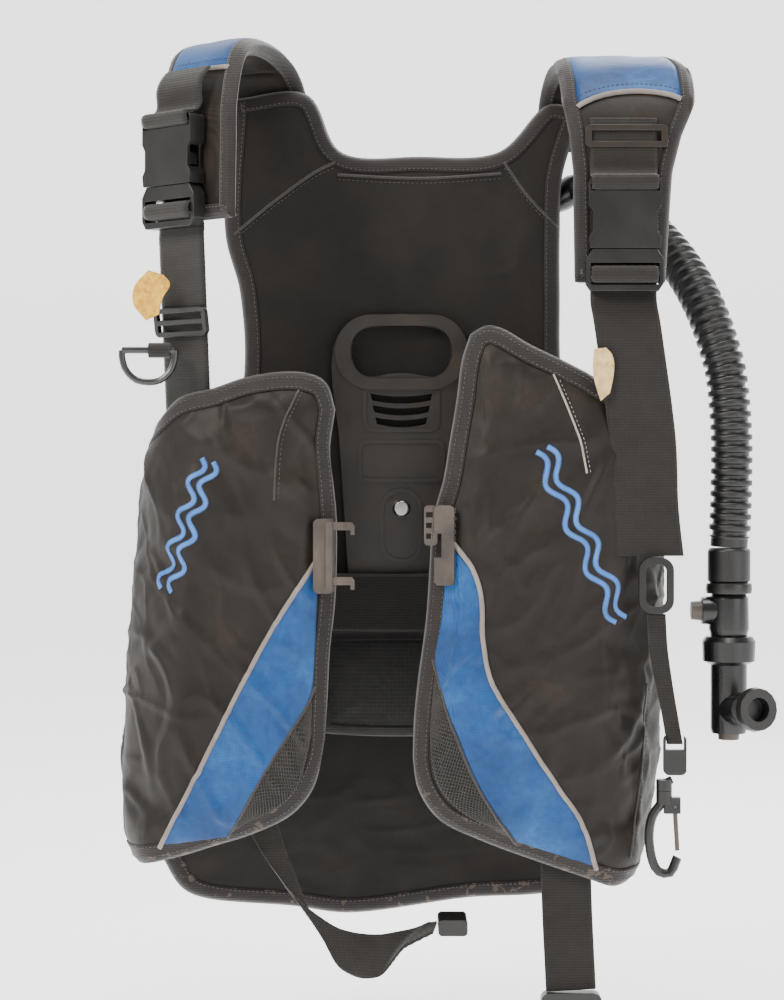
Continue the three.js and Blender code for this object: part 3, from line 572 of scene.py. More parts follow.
hardPieces = {
    "root": {
        "back_plate": platePlastic, "tank_saddle": blackPlastic, "cam_buckle_body": blackPlastic,
        "dump_valve": blackPlastic, "left_buckle_female": blackPlastic, "left_buckle_male": blackPlastic,
        "right_buckle_female": blackPlastic, "right_buckle_male": blackPlastic, "left_slider": blackPlastic,
        "accessory_loop": blackPlastic, "accessory_slider": blackPlastic, "snap_swivel": blackPlastic,
        "right_keeper": platePlastic, "upper_pack_bolt": steel, "lower_pack_bolt": steel,
        "upper_pack_nut": steel, "lower_pack_nut": steel,
    },
    "lobe_left": {"clip_hook_plate": greyPlastic, "waist_buckle_male": blackPlastic},
    "lobe_right": {"clip_receiver": greyPlastic, "waist_buckle_female": blackPlastic},
    "inflator": {"hose_elbow": hosePlastic, "hose_tie": blackPlastic, "inflator_body": hosePlastic,
                 "mouthpiece_housing": hosePlastic, "low_pressure_nipple": steel, "hose_cuff": rubber,
                 "mouthpiece": rubber},
}

for body, pieces in hardPieces.items():
    for node, look in pieces.items():
        refined(node, look, body)
smallPieces = {
    "inflate_button": ("inflate_button", greyPlastic), "deflate_button": ("deflate_button", greyPlastic),
    "left_d_ring": ("d_ring", blackSteel), "snap_hook": ("hook", blackPlastic),
               "snap_gate": ("gate", greyPlastic),
    "left_prong_outer": ("prong_left_outer", blackPlastic),
               "left_prong_inner": ("prong_left_inner", blackPlastic),
    "right_prong_outer": ("prong_right_outer", blackPlastic),
    "right_prong_inner": ("prong_right_inner", blackPlastic),
    "cam_lever": ("cam_lever", blackPlastic), "dump_knob": ("dump_knob", blackPlastic),
}
for node, (body, look) in smallPieces.items():
    refined(node, look, body, edgeBreak["small"])
tuple(hoseCurve.at(0))
[tuple(hoseCurve.at(i / 30)) for i in range(31)]
print("hard pieces ready")


# ---- soft forms
# a patch between four edges, read by its two shares
def patchPoint(edges, u, v):
    top, bottom, left, right = (edges[k] for k in ("top", "bottom", "left", "right"))
    across = top.at(u).lerp(bottom.at(u), v)
    down = left.at(v).lerp(right.at(v), u)
    corners = (top.at(0).lerp(top.at(1), u)).lerp(bottom.at(0).lerp(bottom.at(1), u), v)
    return across + down - corners


# faces of two skins of rows by cols points, closed round their rim
def shellFaces(rows, cols):
    total = rows * cols
    faces = []
    for i in range(rows - 1):
        for j in range(cols - 1):
            a, b, c, d = i * cols + j, i * cols + j + 1, (i + 1) * cols + j + 1, (i + 1) * cols + j
            faces += [(a, b, c, d), (a + total, d + total, c + total, b + total)]
    rim = list(range(cols)) + [i * cols + cols - 1 for i in range(1, rows)]
    rim += [(rows - 1) * cols + j for j in range(cols - 2, -1, -1)]
    rim += [i * cols for i in range(rows - 2, 0, -1)]
    return faces + [(a, a + total, b + total, b) for a, b in zip(rim, rim[1:] + rim[:1])]


# closed quilt of two skins, from a grid of middle places, their outward normals and half thicknesses
def quiltMesh(name, places, outward, half, look, body="root"):
    rows, cols = len(places), len(places[0])
    points = [places[i][j] + outward[i][j] * half[i][j] * sign
              for sign in (1, -1) for i in range(rows) for j in range(cols)]
    return makeObject(name, points, shellFaces(rows, cols), look, body)


def gridNormals(places, outside):
    rows, cols = len(places), len(places[0])
    result = []
    for i in range(rows):
        line = []
        for j in range(cols):
            down = places[min(i + 1, rows - 1)][j] - places[max(i - 1, 0)][j]
            over = places[i][min(j + 1, cols - 1)] - places[i][max(j - 1, 0)]
            normal = over.cross(down).normalized()
            if normal.dot(outside(places[i][j])) < 0:
                normal = -normal
            line.append(normal)
        result.append(line)
    return result


# half thickness over a grid: thin at its rim, full from plump onwards
def rimHalf(places, middle, rim, plump):
    rows, cols = len(places), len(places[0])
    result = []
    for i in range(rows):
        line = []
        for j in range(cols):
            here = places[i][j]
            near = min((here - places[0][j]).length, (here - places[-1][j]).length,
                       (here - places[i][0]).length, (here - places[i][-1]).length)
            share = min(near / (plump * mm), 1.0)
            line.append((rim + (middle - rim) * math.sin(share * math.pi / 2)) * mm)
        result.append(line)
    return result


# how free a point is: nothing within start of the edge, all of it a width further in
def edgeFade(places, start, width):
    edge = [places[0], places[-1], [line[0] for line in places], [line[-1] for line in places]]
    tree = KDTree(sum(len(line) for line in edge))
    for k, p in enumerate(q for line in edge for q in line):
        tree.insert(p, k)
    tree.balance()
    return lambda p: smooth((tree.find(p)[2] - start * mm) / (width * mm))


# air pressure in cloth, with each point's travel held to a limit
puffing = {"voxel": 5.0, "pressure": 4.0, "frames": 20, "cap": 6.0}


def puff(obj, cap=None, pressure=None, voxel=None, keep=None):
    if voxel != 0:
        remesh = obj.modifiers.new("even", "REMESH")
        remesh.mode = "VOXEL"
        remesh.voxel_size = (voxel or puffing["voxel"]) * mm
        applyModifiers(obj)
    start = [v.co.copy() for v in obj.data.vertices]
    cloth = obj.modifiers.new("cloth", "CLOTH")
    cloth.settings.use_pressure = True
    cloth.settings.uniform_pressure_force = pressure or puffing["pressure"]
    cloth.settings.effector_weights.gravity = 0
    cloth.settings.quality = 4
    cloth.settings.mass = 0.25
    cloth.settings.bending_stiffness = 0.8
    cloth.point_cache.frame_start = 1
    cloth.point_cache.frame_end = puffing["frames"]
    for step in range(1, puffing["frames"] + 1):
        scene.frame_set(step)
    graph = bpy.context.evaluated_depsgraph_get()
    moved = [v.co.copy() for v in obj.evaluated_get(graph).data.vertices]
    obj.modifiers.clear()
    scene.frame_set(1)
    limit = (cap or puffing["cap"]) * mm
    for vertex, old, new in zip(obj.data.vertices, start, moved):
        shift = new - old
        reach = limit * (keep(old) if keep else 1.0)
        if shift.length > reach:
            shift *= reach / max(shift.length, 1e-9)
        vertex.co = old + shift
    addSmoothing(obj)


def addSmoothing(obj):
    edited(obj.data, lambda bm: bmesh.ops.smooth_vert(bm, verts=bm.verts, factor=0.5, use_axis_x=True,
                                                      use_axis_y=True, use_axis_z=True))
    subdivided(obj)
    shadeSmooth(obj)


def subdivided(obj):
    finer = obj.modifiers.new("fine", "SUBSURF")
    finer.levels = 1
    finer.render_levels = 1
    applyModifiers(obj)


# soft folds and creases pushed into a finished skin, along its normals
def wrinkle(obj, folds, where=None):
    mesh = obj.data
    normals = [v.normal.copy() for v in mesh.vertices]
    for vertex, normal in zip(mesh.vertices, normals):
        p = vertex.co
        push = sum(f(p) for f in folds) * mm
        if where:
            push *= where(p)
        vertex.co = p + normal * push


def foldNoise(size, stretch, amount, seed=0.0, sharp=False, lean=0.0):
    c, t = math.cos(math.radians(lean)), math.sin(math.radians(lean))

    def read(p):
        x, z = p.x * c - p.z * t, p.x * t + p.z * c
        q = Vector((x * stretch[0], p.y * stretch[1], z * stretch[2])) / (size * mm)
        q += Vector((seed, seed, seed))
        value = noise.noise(q)
        if sharp:
            # creases come and go along their length
            gaps = noise.noise(p / (55 * mm) + Vector((seed, 0, 2)))
            value = max(0.0, 0.42 - abs(value) * 2.6) * (0.5 + 1.2 * gaps)
        return value * amount
    return read


# ---- pieces laid on a surface
# a thin closed shell between two lines, each point found by a ray against the surface
def laidPanel(name, tree, firstLine, secondLine, look, body=None, lift=0.8, sink=0.9, cols=14, step=4.0,
              edge=0.5):
    first, second = Curve(firstLine), Curve(secondLine)
    rows = max(int(max(first.length, second.length) / (step * mm)), 6)
    lifted, sunk = [], []
    for i in range(rows + 1):
        for j in range(cols + 1):
            p = first.at(i / rows).lerp(second.at(i / rows), j / cols)
            rim = i in (0, rows) or j in (0, cols)
            hit, normal = onFront(tree, p.x, p.z, 0)
            lifted.append(hit + normal * (lift * (edge if rim else 1.0)) * mm)
            sunk.append(hit - normal * sink * mm)
    return makeObject(name, lifted + sunk, shellFaces(rows + 1, cols + 1), look, body)


def flat(points):
    # front view places, in millimetres across and up
    return [Vector((x, 0, z)) * mm for x, z in points]


def frontLine(tree, points, lift, step=3.0):
    line = Curve(flat(points))
    count = max(int(line.length / (step * mm)), 4)
    return [onFront(tree, line.at(i / count).x, line.at(i / count).z, lift * mm) for i in range(count + 1)]


def laidCord(name, tree, points, radius, look, body=None, lift=0.9):
    places = frontLine(tree, points, lift)
    return roundLine(name, Curve([p for p, _ in places]), radius * mm, look, body)


def laidStitches(name, tree, points, look, body=None, lift=0.3, **sizes):
    return stitches(name, frontLine(tree, points, lift), look, body, **sizes)


# stations of an edge: place on the middle surface, direction into the piece, outward normal
def castAlong(tree, start, direction, fallback):
    hit, _, _, _ = tree.ray_cast(start, direction, 0.06)
    return hit if hit is not None else fallback


def edgeTape(name, tree, stations, look, width=12.0, body=None, lift=1.0, nose=1.4, reach=18.0, closed=False):
    rings = []
    shares = (1.0, 0.8, 0.6, 0.4, 0.22, 0.08)
    for place, inward, normal in stations:
        faces = []
        for sign in (1, -1):
            side = []
            for share in shares:
                spot = place + inward * share * width * mm
                out = normal * sign
                hit = castAlong(tree, spot + out * reach * mm, -out, spot + out * 2.6 * mm)
                side.append(hit + out * lift * mm)
            faces.append(side)
        front, back = faces
        under = [front[0] - normal * (lift + 0.7) * mm, back[0] + normal * (lift + 0.7) * mm]
        tip = place - inward * nose * mm
        rings.append(front + [tip] + back[::-1] + [under[1], under[0]])
    if closed:
        rings.append(rings[0])
    obj = ringSkin(name, rings, look, body, capped=not closed)
    if closed:
        weld(obj)
    return obj


def tapeStitches(name, tree, stations, look, depth, body=None, lift=1.15, bothSides=True, **sizes):
    result = []
    for sign in ((1, -1) if bothSides else (1,)):
        line = []
        for place, inward, normal in stations:
            spot = place + inward * depth * mm
            out = normal * sign
            hit = castAlong(tree, spot + out * 18 * mm, -out, spot + out * 2.6 * mm)
            line.append((hit + out * lift * mm, out))
        result.append(stitches(name + ("_front" if sign > 0 else "_back"), line, look, body, **sizes))
    return result


# a run along an edge is pairs of grid places, one on the edge and one further in
# the direction into the piece is taken square to the edge, on the side where most of the piece lies
def gridEdge(places, normals, run):
    spots = [places[i][j] for (i, j), _ in run]
    across = []
    balance = 0
    for n, ((i, j), (k, m)) in enumerate(run):
        along = spots[min(n + 1, len(spots) - 1)] - spots[max(n - 1, 0)]
        across.append(normals[i][j].cross(along).normalized())
        balance += across[-1].dot((places[k][m] - spots[n]).normalized())
    side = 1 if balance > 0 else -1
    return [(spot, inward * side, normals[i][j]) for spot, inward, ((i, j), _) in zip(spots, across, run)]


def roundRun(places):
    # the places round a grid's edge, each with a neighbour further in
    rows, cols, deep = len(places) - 1, len(places[0]) - 1, 2
    run = [((0, j), (deep, j)) for j in range(1, cols)] + [((0, cols), (deep, cols - deep))]
    run += [((i, cols), (i, cols - deep)) for i in range(1, rows)] + [((rows, cols),
                                                                       (rows - deep, cols - deep))]
    run += [((rows, j), (rows - deep, j)) for j in range(cols - 1, 0, -1)] + [((rows, 0),
                                                                               (rows - deep, deep))]
    run += [((i, 0), (i, deep)) for i in range(rows - 1, 0, -1)] + [((0, 0), (deep, deep))]
    return run


# the tape and stitches that bind a whole grid
def boundRim(name, tree, places, normals, width, threadName=None):
    stations = gridEdge(places, normals, roundRun(places))
    edgeTape(name, tree, stations, binding, width, "root", closed=True)
    if threadName:
        tapeStitches(threadName, tree, stations, thread, width - 2, "root")


# ---- the two sides of the jacket: side panel, fold and front lobe in one skin
jacket = {
    "left": {
        "nodes": ("left_front_lobe", "left_side_panel"), "body": "lobe_left", "fold": -134,
        "start": (-0.150, -0.082, -0.42), "end": (-0.118, -0.082, -0.42), "inward": 1,
        "lobeTop": ((-134, -72, -247), (-106, -74, -238), (-69, -75, -235), (-51, -74, -242),
                    (-44, -72, -262)),
        "lobeBottom": ((-134, -72, -590), (-106, -74, -581), (-76, -75, -566), (-60, -74, -546),
                       (-52, -72, -510)),
        "inner": ((-44, -72, -262), (-48, -72, -292), (-45, -72, -322), (-43, -72, -345), (-44, -72, -405),
                  (-48, -72, -442), (-50, -72, -480), (-52, -72, -510)),
        "sideTop": ((-134, -72, -247), (-160, -68, -254), (-175, -55, -270), (-175, -20, -284),
                    (-158, 20, -290), (-138, 35.4, -288)),
        "sideBottom": ((-134, -72, -590), (-160, -71, -598), (-184, -66, -604), (-194, -46, -606),
                       (-194, -4, -606), (-172, 25, -604)),
        "backEdge": ((-138, 35.4, -288), (-158, 31, -400), (-170, 27, -500), (-172, 25, -604)),
        "foldLine": ((-134, -72, -247), (-134, -72, -420), (-134, -72, -590)),
    },
    "right": {
        "nodes": ("right_front_lobe", "right_side_panel"), "body": "lobe_right", "fold": 146,
        "start": (0.162, -0.082, -0.42), "end": (0.130, -0.082, -0.42), "inward": -1,
        "lobeTop": ((146, -72, -235), (126, -74, -225), (103, -75, -214), (82, -75, -202), (71, -74, -200),
                    (60, -73, -206)),
        "lobeBottom": ((146, -72, -614), (126, -74, -607), (66, -75, -585), (36, -74, -570), (21, -73, -548),
                       (17, -72, -525)),
        "inner": ((60, -73, -206), (54, -72.5, -225), (50, -72, -255), (45, -72, -285), (40, -72, -315),
                  (32, -72, -345), (30, -72, -375),
                  (27, -72, -420), (21, -72, -465), (18, -72, -495), (17, -72, -525)),
        "sideTop": ((146, -72, -235), (166, -69, -248), (186, -62, -270), (196, -40, -300), (194, -8, -308),
                    (180, 20, -304), (152, 35.4, -290)),
        "sideBottom": ((146, -72, -614), (166, -69, -621), (178, -56, -620), (184, -20, -618), (182, 8, -610),
                       (168, 27, -604)),
        "backEdge": ((152, 35.4, -290), (168, 30, -400), (172, 27, -500), (168, 27, -604)),
        "foldLine": ((146, -72, -235), (146, -72, -420), (146, -72, -614)),
    },
    "rows": 82, "lobeCols": 26, "sideCols": 44, "middle": 7.2, "rim": 2.6, "plump": 26.0,
    "fadeStart": 5, "fadeWidth": 20,
}


def jacketGrid(plan):
    lobe = {"top": Curve(inMetres(plan["lobeTop"])), "bottom": Curve(inMetres(plan["lobeBottom"])),
            "left": Curve(inMetres(plan["foldLine"])), "right": Curve(inMetres(plan["inner"]))}
    side = {"top": Curve(inMetres(plan["sideTop"])), "bottom": Curve(inMetres(plan["sideBottom"])),
            "left": Curve(inMetres(plan["foldLine"])), "right": Curve(inMetres(plan["backEdge"]))}
    places = []
    for i in range(jacket["rows"] + 1):
        v = i / jacket["rows"]
        line = [patchPoint(lobe, 1 - j / jacket["lobeCols"], v) for j in range(jacket["lobeCols"] + 1)]
        line += [patchPoint(side, j / jacket["sideCols"], v) for j in range(1, jacket["sideCols"] + 1)]
        places.append(line)
    return places


def jacketOutside(p):
    # away from the wearer's middle
    return Vector((p.x * 1.1, p.y - 20 * mm if p.y > 0 else p.y - 60 * mm, 0))


sides = {}
for side in ("left", "right"):
    plan = jacket[side]
    places = jacketGrid(plan)
    normals = gridNormals(places, jacketOutside)
    skin = quiltMesh(side + "_jacket_side", places, normals,
                     rimHalf(places, jacket["middle"], jacket["rim"], jacket["plump"]), darkFabric, None)
    fade = edgeFade(places, jacket["fadeStart"], jacket["fadeWidth"])
    puff(skin, cap=7, pressure=3.5, voxel=0, keep=fade)
    sides[side] = {"plan": plan, "places": places, "normals": normals, "fade": fade, "skin": skin}
print("jacket sides laid out")

sideFolds = {
    "left": (foldNoise(60, (1.0, 1.0, 0.5), 3.0, 3.1), foldNoise(40, (1.0, 1.0, 0.34), 8.0, 8.2, True, -24),
             foldNoise(11, (1.0, 1.0, 0.8), 0.6, 1.7), foldNoise(48, (0.4, 0.5, 1.1), 6.0, 5.5, True, 22),
             foldNoise(22, (1.0, 1.0, 0.34), 3.2, 6.1, True, -34)),
    "right": (foldNoise(64, (1.0, 1.0, 0.5), 3.0, 12.4), foldNoise(42, (1.1, 1.1, 0.34), 8.5, 17.3, True, 26),
              foldNoise(11, (1.0, 1.0, 0.8), 0.6, 14.1), foldNoise(50, (0.4, 0.6, 1.1), 6.0, 19.9, True, -24),
              foldNoise(22, (1.0, 1.0, 0.34), 3.2, 16.1, True, 34)),
}


def attach(piece):
    for one in piece if isinstance(piece, list) else [piece]:
        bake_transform(one)
    return piece


for side, data in sides.items():
    wrinkle(data["skin"], sideFolds[side], data["fade"])
    data["tree"] = surfaceOf(data["skin"])
    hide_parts(*data["plan"]["nodes"])
    attach(data["skin"])

jacketTape = {"width": 12.5, "stitchIn": 10.6, "stitchOut": 3.2}
for side, data in sides.items():
    plan, places, normals, tree = (data[k] for k in ("plan", "places", "normals", "tree"))
    rowEnd, colEnd, corner = len(places) - 1, len(places[0]) - 1, 3
    top = [((0, j), (corner, j)) for j in range(colEnd - 1, 0, -1)]
    inner = [((i, 0), (i, corner)) for i in range(1, rowEnd)]
    bottom = [((rowEnd, j), (rowEnd - corner, j)) for j in range(1, colEnd)]
    # one tape runs round the top, down the inner edge and along the bottom
    run = top + [((0, 0), (corner, corner))] + inner + [((rowEnd, 0), (rowEnd - corner, corner))] + bottom
    stations = gridEdge(places, normals, run)
    attach(edgeTape(side + "_jacket_binding", tree, stations, binding, jacketTape["width"]))
    for depth in (jacketTape["stitchIn"], jacketTape["stitchOut"]):
        attach(tapeStitches(side + f"_binding_thread_{int(depth)}", tree, stations, thread, depth))
print("jacket sides ready")


# ---- blue facings, mesh corners and the cords at their edges
facings = {
    "left": {
        "band": ([(-56, -379), (-57, -420), (-59, -465), (-62, -480), (-92, -529), (-123, -584)],
                 [(-57, -377), (-88, -424), (-114, -472), (-144, -532), (-174, -590)]),
        "mesh": ([(-60, -476), (-92, -529), (-122, -581)],
                 [(-61, -506), (-70, -541), (-84, -559), (-112, -573)]),
        "cords": (("piping", [(-55, -372), (-88, -424), (-114, -472), (-144, -532), (-175, -592)], 1.9,
                   piping),
                  ("band_edge", [(-58, -470), (-62, -480), (-92, -529), (-124, -584)], 1.0, darkCord)),
    },
    "right": {
        "band": ([(44, -364), (60, -384), (66, -405), (67, -435), (73, -465), (95, -502), (125, -548),
                  (140, -570), (153, -606)],
                 [(41, -380), (37, -420), (32, -456), (46, -499), (67, -548), (94, -587)]),
        "mesh": ([(33, -458), (46, -499), (67, -548), (92, -584)],
                 [(31, -480), (29, -510), (34, -541), (50, -562), (80, -578)]),
        "cords": (("piping", [(43, -358), (61, -383), (67, -405), (68, -435), (74, -465), (96, -502),
                              (126, -548),
                              (141, -570), (154, -608)], 1.9, piping),
                  ("band_edge", [(31, -450), (45, -499), (66, -548), (93, -588)], 1.0, darkCord)),
    },
}
for side, plan in facings.items():
    tree = sides[side]["tree"]
    attach(laidPanel(side + "_blue_facing", tree, flat(plan["band"][0]), flat(plan["band"][1]), blueFabric,
                     lift=1.35, sink=1.4, step=2.4, cols=30))
    attach(laidPanel(side + "_mesh_corner", tree, flat(plan["mesh"][0]), flat(plan["mesh"][1]), coarseMesh,
                     lift=0.5, step=3.2, cols=14))
    for name, points, radius, look in plan["cords"]:
        attach(laidCord(side + "_" + name, tree, points, radius, look))


# netting: two crossing sets of thin cords over the mesh corners, in one piece a side
net = {"pitch": 3.4, "radius": 0.42, "lift": 1.0, "lean": 1.0}


def netting(name, tree, firstLine, secondLine, look):
    first, second = Curve(firstLine), Curve(secondLine)
    points, faces = [], []

    def place(u, v):
        return first.at(u).lerp(second.at(u), v)

    length = max(first.length, second.length)
    ratio = (first.at(0.5) - second.at(0.5)).length / length * net["lean"]
    count = int(length / (net["pitch"] * mm))
    for way in (1, -1):
        for k in range(-int(count * ratio) - 1, count + int(count * ratio) + 2):
            line = []
            for m in range(25):
                v = m / 24
                u = k / count + way * ratio * (v - 0.5)
                if 0.0 <= u <= 1.0:
                    p = place(u, v)
                    hit, normal = onFront(tree, p.x, p.z, net["lift"] * mm)
                    line.append((hit, normal))
            if len(line) < 3:
                continue
            ring = 5
            base = len(points)
            for n, (hit, normal) in enumerate(line):
                ahead = (line[min(n + 1, len(line) - 1)][0] - line[max(n - 1, 0)][0]).normalized()
                across = ahead.cross(normal).normalized()
                for q in range(ring):
                    turn = 2 * math.pi * q / ring
                    around = across * math.cos(turn) + normal * math.sin(turn)
                    points.append(hit + around * net["radius"] * mm)
            for n in range(len(line) - 1):
                for q in range(ring):
                    a, b = base + n * ring + q, base + n * ring + (q + 1) % ring
                    faces.append((a, b, b + ring, a + ring))
            last = base + (len(line) - 1) * ring
            faces += [tuple(base + q for q in range(ring)), tuple(last + q for q in range(ring))]
    return makeObject(name, points, faces, look, None)


netCord = cordFinish("netting cord", "fabric", rgb(12, 10, 9), rgb(38, 33, 29))
for side, plan in facings.items():
    attach(netting(side + "_mesh_net", sides[side]["tree"], flat(plan["mesh"][0]), flat(plan["mesh"][1]),
                   netCord))
print("facings ready")


# ---- webbing with its woven ribs
webWeave = {"step": 0.9, "pitch": 4.2, "rib": 0.5, "selvage": 0.25, "cols": 16}


# stations are pairs of a place and a half width, and the width is read by a share of the length
def halfWidths(stations, ease):
    runs = [0.0]
    for a, b in zip(stations, stations[1:]):
        runs.append(runs[-1] + (Vector(b[0]) - Vector(a[0])).length)

    def read(share):
        goal = share * runs[-1]
        k = 0
        while k < len(runs) - 2 and runs[k + 1] < goal:
            k += 1
        t = ease((goal - runs[k]) / (runs[k + 1] - runs[k]))
        return Vector(stations[k][1]).lerp(Vector(stations[k + 1][1]), t) * mm
    return read


def webRibbon(name, stations, thick, look, body="root", move=None):
    centres = Curve(inMetres([s[0] for s in stations]))
    halfAt = halfWidths(stations, smooth)
    count = max(int(centres.length / (webWeave["step"] * mm)), 8)
    rings = []
    cols = webWeave["cols"]
    for i in range(count + 1):
        share = i / count
        half = halfAt(share)
        here = centres.at(share)
        ahead = centres.tangent(share)
        out = ahead.cross(half).normalized()
        run = share * centres.length / mm
        top, under = [], []
        for j in range(cols + 1):
            s = j / cols * 2 - 1
            rib = webWeave["rib"] * math.sin(2 * math.pi * (run / webWeave["pitch"] + (j % 2) * 0.5))
            edge = webWeave["selvage"] if 0.8 < abs(s) < 0.98 else 0
            high = (thick / 2 - 0.12 + rib * 0.5 + edge * 0.5) * mm
            if abs(s) > 0.99:
                high *= 0.45
            top.append(here + half * s + out * high)
            under.append(here + half * s - out * high)
        rings.append(top + under[::-1])
    if move:
        rings = [[move @ p for p in ring] for ring in rings]
    return ringSkin(name, rings, look, body)


def turnedFrame(place, turn):
    return Matrix.Translation(Vector(place) * mm) @ Matrix.Rotation(turn, 4, "Z")


strap = {"half": 25, "thick": 2.5, "mouth": -52, "padFace": 7.8, "slot": -6.75}
leftFrame = turnedFrame((-165.1, -68.8, -41), math.atan2(-27, 29))
rightFrame = turnedFrame((174, -83.8, -90), 0)


def acrossStrap(points, half=None):
    return [(p, (half or strap["half"], 0, 0)) for p in points]


def upperStrap(rise, under):
    face, slot = strap["padFace"], strap["slot"]
    return acrossStrap(list(under) + [(0, face - 2.2, rise), (0, face - 1.8, 9), (0, 2, 3.6), (0, -4, 2.4),
                                      (0, -8.9, 1.2),
                        (0, -9.7, -2.6), (0, -7.6, -6.6), (0, 0, slot), (0, 5.5, slot)])


def lowerStrap(ends):
    bar = strap["mouth"] - 19
    return acrossStrap([(0, 5, bar + 5), (0, 0, bar + 5), (0, -6.4, bar + 4.2), (0, -8.2, bar),
                        (0, -6.4, bar - 4.2),
                        (0, 0, bar - 5), (0, 6, bar - 5.5), (0, 8.4, bar - 10.6)] + list(ends))


lowTop, lowEnd = Vector((0, 8.2, -90)), Vector((-12.6, 26.5, -221))
leftRun = [tuple(lowTop.lerp(lowEnd, t)) for t in (0, 0.06, 0.15, 0.5, 1)]
waistTop, stubTop = -588, -598
rightRun = [(0, 5.4, -92), (2, 1.2, -106), (4, 0.6, -120), (14, 2.5, -195), (16, 2.5, -245), (20, 3.1, -282)]
# each strap's stations, thickness, frame and body
straps = {
    "left_upper_webbing": (upperStrap(22, [(0, 15.5, 37), (0, 9.2, 30)]), strap["thick"], leftFrame, "root"),
    "right_upper_webbing": (upperStrap(22, [(0, 10.4, 47), (0, 7, 36)]), strap["thick"], rightFrame, "root"),
    "left_lower_webbing": (lowerStrap(leftRun), strap["thick"], leftFrame, "root"),
    "right_lower_webbing": (lowerStrap(rightRun), strap["thick"], rightFrame, "root"),
    "accessory_strap": ([((198, -85.1, -415.4), (7, 0, 0)), ((200, -85.1, -445), (7, 0, 0)),
                         ((208, -85.1, -490), (6, 0, 0)), ((212, -85.1, -513), (6, 0, 0))], 2, None, "root"),
    "left_waist_webbing": ([((-108, -60.4, waistTop + 30), (17, 0, -8)),
                            ((-90, -60.4, waistTop - 12), (15, 0, -12)),
                            ((-70, -63, waistTop - 48), (12, 0, -14)),
                            ((-40, -68, waistTop - 82), (4, -2, -17)),
                            ((-8, -74, waistTop - 86), (-4, -8, -15)),
                            ((18, -77, waistTop - 70), (-8, -14, -6)),
                            ((32, -78, waistTop - 64), (-2, -18, -1))], 2.5, None, "lobe_left"),
    "right_waist_webbing": ([((132, -59.8, stubTop), (19, 0, 1)), ((133, -60, stubTop - 40), (19, 0, 1)),
                             ((136, -62, stubTop - 104.8), (19, 0, 1))], 2.5, None, "lobe_right"),
}
for name, (stations, thick, move, body) in straps.items():
    piece = webRibbon(name + "_woven", stations, thick, webbing, body, move)
    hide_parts(name)
for node in ("tank_band", "left_d_ring_loop"):
    refined(node, webbing, "root", 0.4)

# the waist band runs in front of the plate
waistBand = {"y": 30.5, "z": -408, "bow": 4, "sag": 5, "reach": 165, "thick": 2.4, "half": 23}
band = []
for x in (-152, -110, -60, -10, 40, 90, 130, 163):
    middle = 1 - (x / waistBand["reach"]) ** 2
    place = (x, waistBand["y"] - waistBand["bow"] * middle, waistBand["z"] - waistBand["sag"] * middle)
    band.append((place, (0, 0, waistBand["half"])))
webRibbon("waist_band", band, waistBand["thick"], webbing)
print("webbing ready")


# ---- cloth tags, each a creased scrap round its strap
def tagScrap(name, node, look, outline, lean, seed, hang=(0, 0, 0)):
    low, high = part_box(node)
    centre = (low + high) / 2 + Vector(hang) * mm
    front = low.y - 0.6 * mm
    rows, cols = 16, 16
    curve = [Vector((x, 0, z)) * mm for x, z in outline]
    half = len(curve) // 2
    one, two = Curve(curve[:half]), Curve(curve[half:][::-1])
    points = []
    for sign in (1, -1):
        for i in range(rows + 1):
            for j in range(cols + 1):
                p = one.at(i / rows).lerp(two.at(i / rows), j / cols)
                dent = noise.noise(Vector((p.x, seed * mm, p.z)) / (7 * mm)) * 2.4 * mm
                depth = front + lean * p.x - abs(dent) - sign * 0.25 * mm
                points.append(Vector((centre.x + p.x, depth, centre.z + p.z)))
    piece = makeObject(name, points, shellFaces(rows + 1, cols + 1), look, "root")
    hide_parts(node)


tagScrap("yellow_tag_scrap", "left_strap_tag", yellowTape,
         [(-3, 19), (-14, 7), (-15, -6), (-5, -19), (5, -15), (8, -3), (14, 8), (9, 15)], -0.35, 3,
         (-10, -3, -14))
tagScrap("cream_tag_scrap", "right_strap_tag", creamTape,
         [(-7, 19), (-8, 4), (-6, -8), (-2, -20), (5, -14), (8, 2), (7, 14), (2, 20)], 0.1, 9)
print("tags ready")


# ---- shoulder pads
# a shell laid on a skin, each point cast in along the normal of its place
def castPanel(name, tree, grid, look, body=None, lift=0.9, sink=0.9):
    rows, cols = len(grid) - 1, len(grid[0]) - 1
    lifted, sunk = [], []
    for i, line in enumerate(grid):
        for j, (place, normal) in enumerate(line):
            rim = i in (0, rows) or j in (0, cols)
            hit = castAlong(tree, place + normal * 22 * mm, -normal, place + normal * 5 * mm)
            lifted.append(hit + normal * lift * (0.5 if rim else 1.0) * mm)
            sunk.append(hit - normal * sink * mm)
    return makeObject(name, lifted + sunk, shellFaces(rows + 1, cols + 1), look, body)


